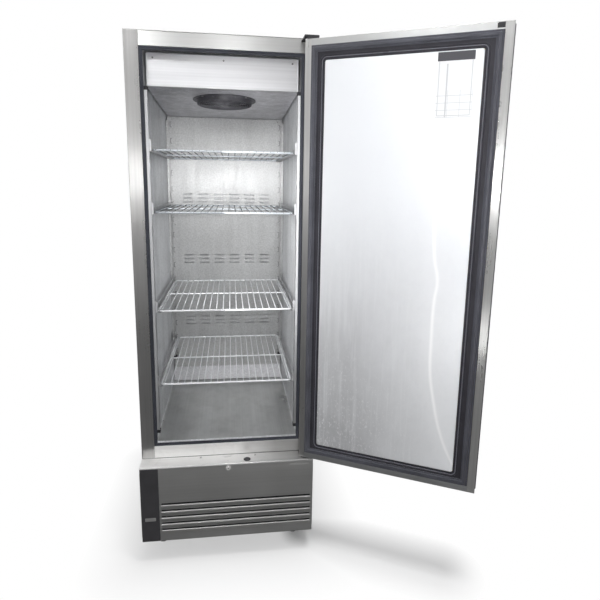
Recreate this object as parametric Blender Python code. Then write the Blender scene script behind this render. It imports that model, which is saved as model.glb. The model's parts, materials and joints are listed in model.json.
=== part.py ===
"""Upright reach-in refrigerator, one door, 600 litre class.

Lengths below are millimetres and are turned into metres when a mesh is made.
X runs to the right across the front, Y runs into the cabinet, Z is up.
The plane Y = 0 is the front frame that the door closes on. Heights below are
measured from the floor. The last step lowers everything by the height of the
base, so that the finished part has its origin on the base's underside, below
the middle of the front frame, with the floor 105 mm under it.
The door is hinged on the right and stands open at rest.
"""

import math
from itertools import product

import bmesh
import bpy
from mathutils import Matrix, Vector

for thing in list(bpy.data.objects):
    bpy.data.objects.remove(thing, do_unlink=True)

MM = 0.001
GAP = 0.3  # clearance between pieces that touch
SHEET = 1.2  # stainless sheet
SIDES = {"left": -1, "right": 1}

# ---------------------------------------------------------------- main sizes
HALF_W = 350.0  # half of the overall width
BODY_BACK = 760.0  # rear edge of the side skins
TOP = 2080.0
BASE = 105.0  # underside of the base, on castors
PANEL_Y = -72.0  # front plane of the lower panel and of the closed door
LEDGE_TOP = 436.0
HINGE_X, HINGE_Y = 324.5, -38.7
PIVOT_Y, PIVOT_Z = -64.0, 114.0  # the drop-down panel turns on this line
LOCK_X, LOCK_Z = 1.4, 417.5

# Sheets that close the back, above and below the floor pan.
REAR_HALF = 346.0
REAR_SHEET_Y = (BODY_BACK - 2 * SHEET, BODY_BACK - SHEET)

# ---------------------------------------------------------------- materials
# look: (base colour, roughness, metallic)
LOOKS = {
    "steel": ((0.62, 0.62, 0.60), 0.32, 1.0),
    "steel_dark": ((0.40, 0.41, 0.41), 0.36, 1.0),
    "liner": ((0.66, 0.66, 0.65), 0.30, 1.0),
    "galvanised": ((0.52, 0.54, 0.55), 0.45, 0.9),
    "wire": ((0.80, 0.80, 0.80), 0.22, 1.0),
    "charcoal": ((0.055, 0.058, 0.066), 0.48, 0.0),
    "slate": ((0.085, 0.092, 0.11), 0.55, 0.0),
    "gasket": ((0.07, 0.075, 0.09), 0.62, 0.0),
    "black": ((0.018, 0.018, 0.020), 0.45, 0.0),
    "foam": ((0.78, 0.68, 0.42), 0.85, 0.0),
    "pale_panel": ((0.74, 0.75, 0.76), 0.38, 0.6),
    "copper": ((0.72, 0.38, 0.24), 0.32, 1.0),
    "fins": ((0.60, 0.61, 0.62), 0.40, 1.0),
    "grey_plastic": ((0.30, 0.31, 0.33), 0.5, 0.0),
}


def dress(obj, look):
    """Gives the object a material of its own, in the look's colour."""
    colour, roughness, metallic = LOOKS[look]
    made = bpy.data.materials.new(f"{obj.name}_{look}")
    made.use_nodes = True
    shader = made.node_tree.nodes["Principled BSDF"]
    shader.inputs["Base Color"].default_value = (*colour, 1.0)
    shader.inputs["Roughness"].default_value = roughness
    shader.inputs["Metallic"].default_value = metallic
    obj.data.materials.append(made)


# ---------------------------------------------------------------- mesh makers
def finish(name, form, look, smooth=None):
    """Turns a bmesh into an object. Without a look it is a hidden helper for a boolean.

    smooth is the angle in degrees above which edges stay sharp.
    """
    bmesh.ops.recalc_face_normals(form, faces=form.faces)
    mesh = bpy.data.meshes.new(name)
    form.to_mesh(mesh)
    form.free()
    obj = bpy.data.objects.new(name, mesh)
    bpy.context.scene.collection.objects.link(obj)
    if look is None:
        obj.hide_render = True
        obj.display_type = "WIRE"
        return obj
    dress(obj, look)
    if smooth is not None:
        mesh.shade_smooth()
        mesh.set_sharp_from_angle(angle=math.radians(smooth))
    return obj


# Step to the neighbouring cell, and the corners of the face shared with it.
CELL_SIDES = (
    ((1, 0, 0), ((1, 0, 0), (1, 1, 0), (1, 1, 1), (1, 0, 1))),
    ((-1, 0, 0), ((0, 0, 0), (0, 0, 1), (0, 1, 1), (0, 1, 0))),
    ((0, 1, 0), ((0, 1, 0), (0, 1, 1), (1, 1, 1), (1, 1, 0))),
    ((0, -1, 0), ((0, 0, 0), (1, 0, 0), (1, 0, 1), (0, 0, 1))),
    ((0, 0, 1), ((0, 0, 1), (1, 0, 1), (1, 1, 1), (0, 1, 1))),
    ((0, 0, -1), ((0, 0, 0), (0, 1, 0), (1, 1, 0), (1, 0, 0))),
)


def blocks(name, look, steps, warp=None):
    """A solid made of axis-aligned boxes, added (+) and removed (-) in turn.

    steps is a list of ("+" or "-", (x0, x1, y0, y1, z0, z1)).
    warp maps an (x, y) grid corner to another place, to round a corner.
    """
    axes = [
        sorted({box[first + end] for _, box in steps for end in (0, 1)})
        for first in (0, 2, 4)
    ]
    index = [{value: i for i, value in enumerate(line)} for line in axes]
    filled = set()
    for sign, box in steps:
        spans = [range(index[i][box[2 * i]], index[i][box[2 * i + 1]]) for i in range(3)]
        cells = set(product(*spans))
        filled = filled | cells if sign == "+" else filled - cells
    form = bmesh.new()
    made = {}

    def vert(i, j, k):
        if (i, j, k) not in made:
            x, y, z = axes[0][i], axes[1][j], axes[2][k]
            if warp and (x, y) in warp:
                x, y = warp[(x, y)]
            made[(i, j, k)] = form.verts.new((x * MM, y * MM, z * MM))
        return made[(i, j, k)]

    for i, j, k in sorted(filled):
        for (step_i, step_j, step_k), corners in CELL_SIDES:
            if (i + step_i, j + step_j, k + step_k) not in filled:
                form.faces.new([vert(i + x, j + y, k + z) for x, y, z in corners])
    bmesh.ops.dissolve_limit(
        form,
        angle_limit=math.radians(0.05),
        verts=form.verts[:],
        edges=form.edges[:],
        use_dissolve_boundaries=False,
    )
    return finish(name, form, look, None)


def helper_box(name, *bounds):
    return blocks(name, None, [("+", bounds)])


def loft(name, look, rings, smooth=None):
    """A solid skinned over rings of points, each with the same count, and closed at both ends."""
    form = bmesh.new()
    rings = [[form.verts.new(Vector(point) * MM) for point in ring] for ring in rings]
    form.faces.new(rings[0])
    form.faces.new(rings[-1])
    for one, two in zip(rings, rings[1:]):
        for i in range(len(one)):
            after = (i + 1) % len(one)
            form.faces.new((one[i], one[after], two[after], two[i]))
    return finish(name, form, look, smooth)


def prism(name, look, outline, axis, low, high):
    """A flat outline pushed along an axis. Its pairs are the other two axes, in X, Y, Z order."""

    def place(first, second, along):
        return {
            "X": (along, first, second),
            "Y": (first, along, second),
            "Z": (first, second, along),
        }[axis]

    return loft(name, look, [[place(*pair, along) for pair in outline] for along in (low, high)])


def circle(radius, count, centre=(0.0, 0.0)):
    angles = [2 * math.pi * i / count for i in range(count)]
    return [
        (centre[0] + radius * math.cos(angle), centre[1] + radius * math.sin(angle))
        for angle in angles
    ]


def helper_rod(name, centre, axis, radius, low, high, count=16):
    """A round bar along an axis; centre holds its two other coordinates."""
    return prism(name, None, circle(radius, count, centre), axis, low, high)


def lathe(name, look, profile, centre, axis, count):
    """A closed profile of (radius, along) pairs turned about a line through centre."""
    form = bmesh.new()
    rings = []
    for radius, along in profile:
        spots = [(0, 0)] if radius < 1e-6 else circle(radius, count)
        rings.append([form.verts.new((x * MM, y * MM, along * MM)) for x, y in spots])
    for one, two in zip(rings, rings[1:] + rings[:1]):
        if len(one) == 1 and len(two) == 1:
            continue
        for i in range(count):
            after = (i + 1) % count
            if len(one) == 1:
                form.faces.new((one[0], two[i], two[after]))
            elif len(two) == 1:
                form.faces.new((one[i], two[0], one[after]))
            else:
                form.faces.new((one[i], two[i], two[after], one[after]))
    turn = {
        "X": Matrix.Rotation(math.radians(90), 4, "Y"),
        "Y": Matrix.Rotation(math.radians(-90), 4, "X"),
        "Z": Matrix.Identity(4),
    }[axis]
    bmesh.ops.transform(
        form, matrix=Matrix.Translation(Vector(centre) * MM) @ turn, verts=form.verts
    )
    return finish(name, form, look, 40)


def tube(name, look, points, radius, count=8):
    """A bent round tube along points, with closed ends, mitred at each bend."""
    path = [Vector(point) for point in points]
    heads = [(end - start).normalized() for start, end in zip(path, path[1:])]
    reference = Vector((0, 0, 1)) if abs(heads[0].z) < 0.9 else Vector((1, 0, 0))
    side = heads[0].cross(reference).normalized()
    rings = []
    for i, point in enumerate(path):
        before, after = heads[max(i - 1, 0)], heads[min(i, len(heads) - 1)]
        mitre = (before + after).normalized()
        # Carry the same side direction round each bend, so that the tube doesn't twist.
        side = (side - before * side.dot(before)).normalized()
        other = before.cross(side)
        ring = []
        for across, upward in circle(1.0, count):
            spoke = (side * across + other * upward) * radius
            ring.append(point + spoke - before * (spoke.dot(mitre) / before.dot(mitre)))
        rings.append(ring)
    return loft(name, look, rings, 50)


def rounded(points, radius, steps=3):
    """The corners of a path replaced by arcs of this radius."""
    path = [Vector(point) for point in points]
    out = [path[0]]
    for before, corner, after in zip(path, path[1:], path[2:]):
        back, ahead = (before - corner).normalized(), (after - corner).normalized()
        half = back.angle(ahead) / 2
        reach = radius / math.tan(half)
        centre = corner + (back + ahead).normalized() * (radius / math.sin(half))
        start = corner + back * reach - centre
        end = corner + ahead * reach - centre
        for i in range(steps + 1):
            out.append(centre + start.lerp(end, i / steps).normalized() * radius)
    out.append(path[-1])
    return out


def combine(base, helpers, operation):
    """Boolean modifiers on base, one for each helper."""
    for i, helper in enumerate(helpers):
        step = base.modifiers.new(f"{operation.lower()}_{i}", "BOOLEAN")
        step.operation = operation
        step.solver = "EXACT"
        step.object = helper
    return base


def cut(base, *helpers):
    return combine(base, helpers, "DIFFERENCE")


def unite(base, *helpers):
    return combine(base, helpers, "UNION")


def pivot(name, place, turn=(0.0, 0.0, 0.0)):
    """An empty on a joint's axis."""
    empty = bpy.data.objects.new(name, None)
    empty.empty_display_size = 0.05
    empty.location = Vector(place) * MM
    empty.rotation_euler = turn
    bpy.context.scene.collection.objects.link(empty)
    return empty


def hang(obj, empty):
    """Puts the origins of obj and its helpers on the empty, so that they move with it."""
    for step in obj.modifiers:
        hang(step.object, empty)
    obj.data.transform(Matrix.Translation(-empty.location))
    obj.parent = empty


def nest(empty, parent):
    """Makes an empty a child of another in the same place. Its pieces are hung first."""
    empty.parent = parent
    empty.location = empty.location - parent.location


def span(side, near, far):
    """A range of x on one side of the middle, in rising order."""
    return tuple(sorted((side * near, side * far)))


def inset(rect, amount):
    """A (left, right, low, high) rectangle made smaller on all four sides."""
    left, right, low, high = rect
    return left + amount, right - amount, low + amount, high - amount


def slab(rect, front, back):
    """A box over a (left, right, low, high) rectangle, between two values of y."""
    left, right, low, high = rect
    return left, right, front, back, low, high


# ================================================================ cabinet body
CHEEK_FRONT, CHEEK_TOP = -70.4, 434.3  # side skins beside the unit compartment
FLOOR_PAN_Z = 437.2  # underside of the pan over the compartment
OPEN_HALF, OPEN_LOW, OPEN_HIGH = 298.0, 490.0, 2027.0  # hole in the front frame
WALL_HALF, FLOOR_Z, CEILING_Z, LINER_BACK = 290.0, 510.0, 2024.0, 722.0
LINER_SHEET = 1.0
LINER_INSIDE = (-WALL_HALF, WALL_HALF, FLOOR_Z, CEILING_Z)
BREAKER_SHEET = 1.6
SILL = FLOOR_Z + GAP + BREAKER_SHEET  # top of the breaker frame's sill, on the liner's floor
THROAT_HALF, THROAT_HIGH = 281.0, 2009.0  # clear opening
THROAT = (-THROAT_HALF, THROAT_HALF, SILL, THROAT_HIGH)
PLUG_XY = (78.0, -46.8)


def cabinet_shell():
    """Side skins that step forward below the door, top, front frame and floor pan."""
    inner = HALF_W - SHEET
    blocks("cabinet_shell", "steel", [
        ("+", (-HALF_W, HALF_W, 0, BODY_BACK, BASE, TOP)),
        ("+", (-HALF_W, HALF_W, CHEEK_FRONT, 0, BASE, CHEEK_TOP)),
        ("-", (-inner, inner, CHEEK_FRONT, 0, BASE, CHEEK_TOP)),
        # corner left clear for the drop-down panel's lower edge to swing in
        ("-", (-HALF_W, HALF_W, CHEEK_FRONT, -50.0, BASE, 127.0)),
        ("-", (-inner, inner, 0, BODY_BACK, BASE, FLOOR_PAN_Z)),
        ("-", (-inner, inner, SHEET, BODY_BACK, FLOOR_PAN_Z + SHEET, TOP - SHEET)),
        ("-", (-OPEN_HALF, OPEN_HALF, 0, SHEET, OPEN_LOW, OPEN_HIGH)),
    ])


def rear_panel():
    """Back sheet with a lip turned forward at its lower and upper edges."""
    low, high = 440.0, 2077.0
    lip = (-REAR_HALF, REAR_HALF, 748.0, REAR_SHEET_Y[0])
    blocks("rear_panel", "galvanised", [
        ("+", (-REAR_HALF, REAR_HALF, *REAR_SHEET_Y, low, high)),
        ("+", (*lip, low, low + SHEET)),
        ("+", (*lip, high - SHEET, high)),
    ])


def cabinet_insulation():
    blocks("cabinet_insulation", "foam", [
        ("+", (-348.4, 348.4, 5.0, 747.0, 442.0, 2075.0)),
        ("-", (-292.0, 292.0, 5.0, 724.5, 507.5, 2026.5)),
    ])


def interior_liner():
    """Open-fronted box with a flange around its mouth."""
    front = 3.0
    blocks("interior_liner", "liner", [
        ("+", slab(inset(LINER_INSIDE, -LINER_SHEET), front, LINER_BACK + LINER_SHEET)),
        ("-", slab(LINER_INSIDE, front, LINER_BACK)),
        ("+", (-297.0, 297.0, front, front + LINER_SHEET, 492.0, 2026.0)),
        ("-", slab(LINER_INSIDE, front, front + LINER_SHEET)),
    ])


def breaker_frame():
    """Dark thermal-break frame around the opening, an L in section."""
    front, leg_front, back = 0.4, 2.4, 24.0
    outer = THROAT_HALF + 2
    blocks("breaker_frame", "charcoal", [
        ("+", (-297.7, 297.7, front, leg_front, 490.3, 2026.7)),
        ("-", slab(THROAT, front, leg_front)),
        ("+", (-outer, outer, leg_front, back, FLOOR_Z + GAP, THROAT_HIGH + 2)),
        ("-", slab(THROAT, leg_front, back)),
    ])


def compartment_ledge():
    """Fixed cover of the unit compartment, which makes the ledge under the door."""
    skirt_y, skirt_low = (-68.4, -67.2), 414.0
    ledge = blocks("compartment_ledge", "steel", [
        ("+", (-HALF_W, HALF_W, PANEL_Y, -GAP, LEDGE_TOP - SHEET, LEDGE_TOP)),
        ("+", (-272.0, 338.0, *skirt_y, skirt_low, LEDGE_TOP - SHEET)),
        # notch in the skirt behind the panel lock
        ("-", (-9.5, 18.5, *skirt_y, skirt_low, 426.8)),
    ])
    cut(ledge, helper_rod("cut_ledge_hole", PLUG_XY, "Z", 9.0, 425.0, 440.0))


def ledge_plug():
    # (radius, z)
    profile = [
        (0, 428.0), (8.0, 428.0), (8.0, 436.3), (14.5, 436.3),
        (14.5, 437.4), (12.0, 439.2), (0, 439.6),
    ]
    lathe("ledge_plug", "black", profile, (*PLUG_XY, 0), "Z", 20)


# ================================================================ base and castors
CASTOR_X, CASTOR_FRONT_Y, CASTOR_REAR_Y = 285.0, 104.0, 680.0
WHEEL_R, WHEEL_W, CASTOR_TRAIL = 37.5, 24.0, 28.0
CASTORS = {
    "front_left": (-CASTOR_X, CASTOR_FRONT_Y),
    "front_right": (CASTOR_X, CASTOR_FRONT_Y),
    "rear_left": (-CASTOR_X, CASTOR_REAR_Y),
    "rear_right": (CASTOR_X, CASTOR_REAR_Y),
}


def kingpin(corner, x, y):
    # (radius, z)
    profile = [(0, 86.0), (8.5, 86.0), (9.0, 90.8), (5.0, 91.4), (5.0, 103.5), (0, 103.5)]
    return lathe(f"join_kingpin_{corner}", None, profile, (x, y, 0), "Z", 10)


def panel_mount(side):
    """Arm that reaches forward from the base, and the pin the panel turns on."""
    back_y = -30.0
    # (y, z)
    outline = [
        (back_y, PIVOT_Z + 5), (PIVOT_Y, PIVOT_Z + 5), (PIVOT_Y - 4, PIVOT_Z + 3),
        (PIVOT_Y - 5, PIVOT_Z),
        (PIVOT_Y - 4, PIVOT_Z - 3), (PIVOT_Y, PIVOT_Z - 5), (back_y, PIVOT_Z - 5),
    ]
    arm = prism(f"join_arm_{side}", None, outline, "X", side * 334.0, side * 331.0)
    ends = span(side, 332.0, 343.6)
    pin = helper_rod(f"join_pivot_{side}", (PIVOT_Y, PIVOT_Z), "X", 3.0, *ends, 12)
    return arm, pin


def base_chassis():
    """Shallow tray with a pad and a kingpin at each castor and two arms at the front."""
    rim = 130.0
    steps = [
        ("+", (-346.0, 346.0, -46.0, 752.0, BASE, rim)),
        ("-", (-344.0, 344.0, -44.0, 750.0, BASE + 2, rim)),
        ("-", (-300.0, 300.0, -46.0, -44.0, 118.0, rim)),  # lowered front wall
    ]
    for x, y in CASTORS.values():
        steps.append(("+", (x - 45, x + 45, y - 36, y + 36, BASE - 4, BASE)))
    helpers = [kingpin(corner, x, y) for corner, (x, y) in CASTORS.items()]
    for side in SIDES.values():
        helpers.extend(panel_mount(side))
    unite(blocks("base_chassis", "galvanised", steps), *helpers)


def castor_fork(corner, x, y, lead):
    """Folded fork with a slot for the wheel, a bore for the kingpin and an axle."""
    axle_y = y + lead * CASTOR_TRAIL
    # (y, z)
    outline = [
        (y - lead * 20, 98.5),
        (y + lead * 24, 98.5),
        (axle_y + lead * 9, 62.0),
        (axle_y + lead * 11, WHEEL_R),
        (axle_y + lead * 6, WHEEL_R - 9),
        (axle_y - lead * 6, WHEEL_R - 9),
        (axle_y - lead * 11, WHEEL_R),
        (y - lead * 6, 74.0),
        (y - lead * 20, 88.0),
    ]
    fork = prism(f"castor_fork_{corner}", "galvanised", outline, "X", x - 17.0, x + 17.0)
    cut(
        fork,
        helper_box(f"cut_slot_{corner}", x - 14.2, x + 14.2, y - 70, y + 70, 10.0, 93.5),
        helper_rod(f"cut_bore_{corner}", (x, y), "Z", 6.2, 80.0, 110.0, 14),
    )
    axle = helper_rod(
        f"join_axle_{corner}", (axle_y, WHEEL_R), "X", 4.0, x - 18.5, x + 18.5, 12
    )
    return unite(fork, axle)


def castor_wheel(corner, centre):
    half = WHEEL_W / 2
    # (radius, distance along the axle)
    profile = [
        (5.0, -half), (26.0, -half + 3), (33.0, -half), (WHEEL_R, -half + 4),
        (WHEEL_R, half - 4), (33.0, half), (26.0, half - 3), (5.0, half),
    ]
    return lathe(f"castor_wheel_{corner}", "grey_plastic", profile, centre, "X", 20)


def castor_brake(corner, x, pin_y, pin_z, lead):
    """Pedal between the fork's cheeks, above the tread on the trailing side."""
    # (distance from the pin towards the trailing side, height above the pin)
    shape = [(-5, 4), (6, 5), (38, 1), (40, -3), (12, -4), (4, -6), (-5, -4)]
    outline = [(pin_y + lead * along, pin_z + rise) for along, rise in shape]
    return prism(f"castor_brake_{corner}", "black", outline, "X", x - 12.5, x + 12.5)


def castor(corner, x, y):
    """Swivelling castor. Front wheels trail forward, rear ones back; the front ones brake."""
    front = corner.startswith("front")
    lead = -1 if front else 1
    swivel = pivot(f"castor_swivel_{corner}", (x, y, 0))
    hang(castor_fork(corner, x, y, lead), swivel)

    centre = (x, y + lead * CASTOR_TRAIL, WHEEL_R)
    axle = pivot(f"castor_axle_{corner}", centre)
    hang(castor_wheel(corner, centre), axle)
    nest(axle, swivel)

    if front:
        pin_y, pin_z = y + lead * 34.0, 84.5
        pin = pivot(f"castor_brake_pin_{corner}", (x, pin_y, pin_z))
        hang(castor_brake(corner, x, pin_y, pin_z, lead), pin)
        nest(pin, swivel)


# ================================================================ drop-down front panel
PANEL_HALF, PANEL_LOW, PANEL_HIGH = 349.0, 107.0, 434.2
TRIM_RIGHT, LOUVRE_LEFT = -277.0, -276.7  # the trim strip covers the panel's left end
FLANGE_IN, FLANGE_BACK, FLANGE_HIGH = 341.0, -58.0, 430.0  # end flanges
LOUVRE_COUNT, LOUVRE_LOW, LOUVRE_PITCH, LOUVRE_HEIGHT = 5, 150.0, 28.5, 9.0


def ear(side):
    """Bore in the end flange that sits on the base's pivot pin."""
    ends = span(side, 339.0, 349.0)
    return helper_rod(f"cut_ear_{side}", (PIVOT_Y, PIVOT_Z), "X", 4.0, *ends, 14)


def louvre_panel():
    back = PANEL_Y + SHEET
    inner_left = LOUVRE_LEFT + SHEET
    steps = [
        ("+", (LOUVRE_LEFT, PANEL_HALF, PANEL_Y, back, PANEL_LOW, PANEL_HIGH)),
        # top lip, right flange, left flange and the strip it turns out to the left
        ("+", (LOUVRE_LEFT, 346.5, back, -69.4, PANEL_HIGH - SHEET, PANEL_HIGH)),
        ("+", (FLANGE_IN, FLANGE_IN + SHEET, back, FLANGE_BACK, PANEL_LOW, FLANGE_HIGH)),
        ("+", (LOUVRE_LEFT, inner_left, back, -60.0, PANEL_LOW, FLANGE_HIGH)),
        ("+", (-330.0, inner_left, -61.2, -60.0, 130.0, 410.0)),
    ]
    for i in range(LOUVRE_COUNT):
        z = LOUVRE_LOW + LOUVRE_PITCH * i
        steps.append(("-", (-270.0, 340.0, PANEL_Y, back, z, z + LOUVRE_HEIGHT)))
    return cut(
        blocks("louvre_panel", "steel_dark", steps),
        ear(1),
        helper_rod("cut_lock_hole", (LOCK_X, LOCK_Z), "Y", 8.5, -80.0, -69.5),
    )


def panel_trim_strip():
    back = PANEL_Y + 1.6
    outer = -FLANGE_IN - SHEET
    strip = blocks("panel_trim_strip", "charcoal", [
        ("+", (-PANEL_HALF, TRIM_RIGHT, PANEL_Y, back, PANEL_LOW, PANEL_HIGH)),
        ("+", (outer, -FLANGE_IN, back, FLANGE_BACK, PANEL_LOW, FLANGE_HIGH)),
        ("+", (outer, -300.0, FLANGE_BACK - SHEET, FLANGE_BACK, 140.0, 400.0)),
    ])
    return cut(strip, ear(-1))


def panel_lock():
    """Lock barrel with a cam behind the panel."""
    # (radius, distance behind the panel's front)
    profile = [
        (0, -3.0), (10.5, -3.0), (12.0, -1.8), (12.0, -0.4),
        (8.0, -0.4), (8.0, 7.0), (0, 7.0),
    ]
    return unite(
        lathe("panel_lock", "steel", profile, (LOCK_X, PANEL_Y, LOCK_Z), "Y", 18),
        helper_box(
            "join_lock_cam", LOCK_X - 6, LOCK_X + 15, -66.8, -65.2, LOCK_Z - 5, LOCK_Z + 5
        ),
        helper_rod("join_lock_stem", (LOCK_X, LOCK_Z), "Y", 4.0, -66.0, -64.6, 10),
    )


def front_panel():
    """The panel, its trim and its lock, on the tilting joint."""
    tilt = pivot("panel_tilt", (0, PIVOT_Y, PIVOT_Z))
    hang(louvre_panel(), tilt)
    hang(panel_trim_strip(), tilt)
    lock_turn = pivot("lock_turn", (LOCK_X, PANEL_Y, LOCK_Z))
    hang(panel_lock(), lock_turn)
    nest(lock_turn, tilt)


# ================================================================ fans
def fan_blade(name, hub, tip, low, high, parent):
    """Hub and five twisted blades in one loop, pushed along Z with a turn."""
    blades, twist = 5, math.radians(24.0)
    pitch = 2 * math.pi / blades
    waist = tip * 0.62
    # (radius, share of one blade's pitch)
    outline = [
        (hub, 0.0), (hub, 0.18), (waist, 0.26), (tip, 0.36),
        (tip, 0.60), (waist, 0.44), (hub, 0.36), (hub, 0.68),
    ]
    rings = []
    for z, turn in ((low, 0.0), (high, twist)):
        ring = []
        for i in range(blades):
            for radius, share in outline:
                # The turn grows from the hub and is full from halfway to the tip.
                grown = min(1.0, (radius - hub) / (tip - hub) * 2)
                angle = pitch * (i + share) + turn * grown
                ring.append((radius * math.cos(angle), radius * math.sin(angle), z))
        rings.append(ring)
    loft(name, "grey_plastic", rings, 35).parent = parent


# ================================================================ evaporator
COVER_FRONT_Y, COVER_FRONT_Z, COVER_REAR_Y, COVER_REAR_Z = 50.0, 1899.0, 690.0, 1873.5
COVER_FALL = (COVER_FRONT_Z - COVER_REAR_Z) / (COVER_REAR_Y - COVER_FRONT_Y)
COVER_TOP = 2018.0
FAN_X, FAN_Y = 0.0, 255.0
FAN_Z = COVER_FRONT_Z - COVER_FALL * (FAN_Y - COVER_FRONT_Y)


def evaporator_cover():
    """Bent sheet under the coil, falling to the rear, with a round mouth for the fan."""
    # (y, z)
    outline = [
        (COVER_FRONT_Y, COVER_TOP),
        (COVER_FRONT_Y, COVER_FRONT_Z),
        (COVER_REAR_Y, COVER_REAR_Z),
        (COVER_REAR_Y, COVER_REAR_Z + 12),
        (COVER_REAR_Y - SHEET, COVER_REAR_Z + 12),
        (COVER_REAR_Y - SHEET, COVER_REAR_Z + SHEET),
        (COVER_FRONT_Y + SHEET, COVER_FRONT_Z + SHEET),
        (COVER_FRONT_Y + SHEET, COVER_TOP - SHEET),
        (COVER_FRONT_Y + 14, COVER_TOP - SHEET),
        (COVER_FRONT_Y + 14, COVER_TOP),
    ]
    cut(
        prism("evaporator_cover", "liner", outline, "X", -281.5, 281.5),
        helper_rod("cut_fan_mouth", (FAN_X, FAN_Y), "Z", 112.0, 1850.0, 1950.0, 32),
    )


def ring_grille(name, look, radii, sectors, layers, kept):
    """A round grille built from ring sectors; kept(ring, sector, layer) says which are solid."""
    form = bmesh.new()
    made = {}

    def vert(ring, sector, layer):
        key = (ring, sector % sectors, layer)
        if key not in made:
            angle = 2 * math.pi * key[1] / sectors
            x, y = radii[ring] * math.cos(angle), radii[ring] * math.sin(angle)
            made[key] = form.verts.new((x * MM, y * MM, layers[layer] * MM))
        return made[key]

    cells = product(range(len(radii) - 1), range(sectors), range(len(layers) - 1))
    solid = {cell for cell in cells if kept(*cell)}
    for ring, sector, layer in sorted(solid):
        for (step_r, step_s, step_z), corners in CELL_SIDES:
            if (ring + step_r, (sector + step_s) % sectors, layer + step_z) not in solid:
                form.faces.new(
                    [vert(ring + x, sector + y, layer + z) for x, y, z in corners]
                )
    return finish(name, form, look, 30)


def evaporator_fan_guard(seat):
    """A flange ring under the cover and a bowl that hangs below it, of rings and spokes."""
    radii = [16.0, 24.0, 52.0, 57.0, 84.0, 89.0, 106.0, 110.0, 129.0]
    layers = [-20.0, -17.0, -3.0, -0.4]  # z in the seat's frame

    def kept(ring, sector, layer):
        flange = ring == 7 and layer == 2
        wall = ring == 6
        hoop = layer == 0 and ring in (0, 2, 4)
        spoke = layer == 0 and ring < 6 and sector % 6 == 0
        return flange or wall or hoop or spoke

    ring_grille("evaporator_fan_guard", "black", radii, 24, layers, kept).parent = seat


def evaporator_fan_motor(seat):
    """Motor above the blades, on three arms that stand on the cover."""
    # (radius, z in the seat's frame)
    profile = [
        (0, 30.0), (6.0, 30.0), (6.0, 38.0), (34.0, 38.0),
        (36.0, 41.0), (36.0, 74.0), (32.0, 78.0), (0, 78.0),
    ]
    motor = lathe("evaporator_fan_motor", "black", profile, (0, 0, 0), "Z", 20)
    arms = []
    for i in range(3):
        arm = blocks(f"join_motor_arm_{i}", None, [
            ("+", (-5.0, 5.0, 30.0, 124.0, 50.0, 53.0)),
            ("+", (-5.0, 5.0, 121.0, 124.0, 1.6, 53.0)),
        ])
        arm.rotation_euler = (0, 0, math.radians(90 + 120 * i))
        arm.parent = seat
        arms.append(arm)
    unite(motor, *arms)
    motor.parent = seat


def evaporator_fan():
    """Guard, motor and blades, drawn about a seat that lies in the sloping cover."""
    seat = pivot("evaporator_fan_seat", (FAN_X, FAN_Y, FAN_Z), (-math.atan(COVER_FALL), 0.0, 0.0))
    evaporator_fan_guard(seat)
    evaporator_fan_motor(seat)
    fan_blade("evaporator_fan_blade", 26.0, 98.0, 6.0, 24.0, seat)


def evaporator_coil():
    """Finned block with nine upright grooves in its front."""
    front = 470.0
    steps = [("+", (-210.0, 210.0, front, 640.0, 1906.0, 2008.0))]
    for i in range(9):
        x = -189.0 + 46.0 * i
        steps.append(("-", (x, x + 12.0, front, front + 6, 1910.0, 2004.0)))
    blocks("evaporator_coil", "fins", steps)


# ================================================================ racking and shelves
SHELF_TOPS = (1675.0, 1443.0, 1054.0, 746.0)
SHELF_HALF, SHELF_FRONT, SHELF_DEPTH = 268.0, 33.0, 651.0
SHELF_WIRES, WIRE_HALF = 20, 1.6
BAR_HEIGHT, BAR_WIDTH = 8.0, 6.0

# Racking posts: (inner x, front y, low z, high z)
POSTS = {
    "front": (277.0, 27.0, 534.0, 1897.0),
    "rear": (276.9, 664.0, 632.0, 1865.0),
}
POST_OUTER, POST_DEPTH, POST_SHEET, POST_END = 289.2, 18.0, 1.5, 14.0


def rear_duct_panel():
    """Sheet in front of the liner's back with three banks of slots and a sloping foot."""
    sheet_y = (694.0, 694.0 + SHEET)
    slot_width, slot_height, column_pitch, row_pitch = 61.0, 7.0, 78.2, 20.0
    steps = [("+", (-286.0, 286.0, *sheet_y, 571.0, 1871.0))]
    for bank_top, row, column in product((1499.5, 1188.0, 857.5), range(3), range(6)):
        x = -226.0 + column_pitch * column
        z = bank_top - row_pitch * row
        steps.append(("-", (x, x + slot_width, *sheet_y, z - slot_height, z)))
    # (y, z)
    foot = [
        (694.1, 573.0), (655.0, 512.0), (655.0, 510.6),
        (657.2, 510.6), (695.0, 569.6), (695.0, 573.0),
    ]
    unite(
        blocks("rear_duct_panel", "liner", steps),
        prism("join_duct_foot", None, foot, "X", -285.8, 285.8),
    )


def racking_post(place, word):
    """Channel open to the liner's wall, with a solid block at each end."""
    inner, front, low, high = POSTS[place]
    side = SIDES[word]
    back = front + POST_DEPTH
    web = span(side, inner, inner + POST_SHEET)
    full = span(side, inner, POST_OUTER)
    middle = (low + POST_END, high - POST_END)
    blocks(f"racking_post_{place}_{word}", "liner", [
        ("+", (*web, front, back, *middle)),
        ("+", (*full, front, front + POST_SHEET, *middle)),
        ("+", (*full, back - POST_SHEET, back, *middle)),
        ("+", (*full, front, back, low, low + POST_END)),
        ("+", (*full, front, back, high - POST_END, high)),
    ])


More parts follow.
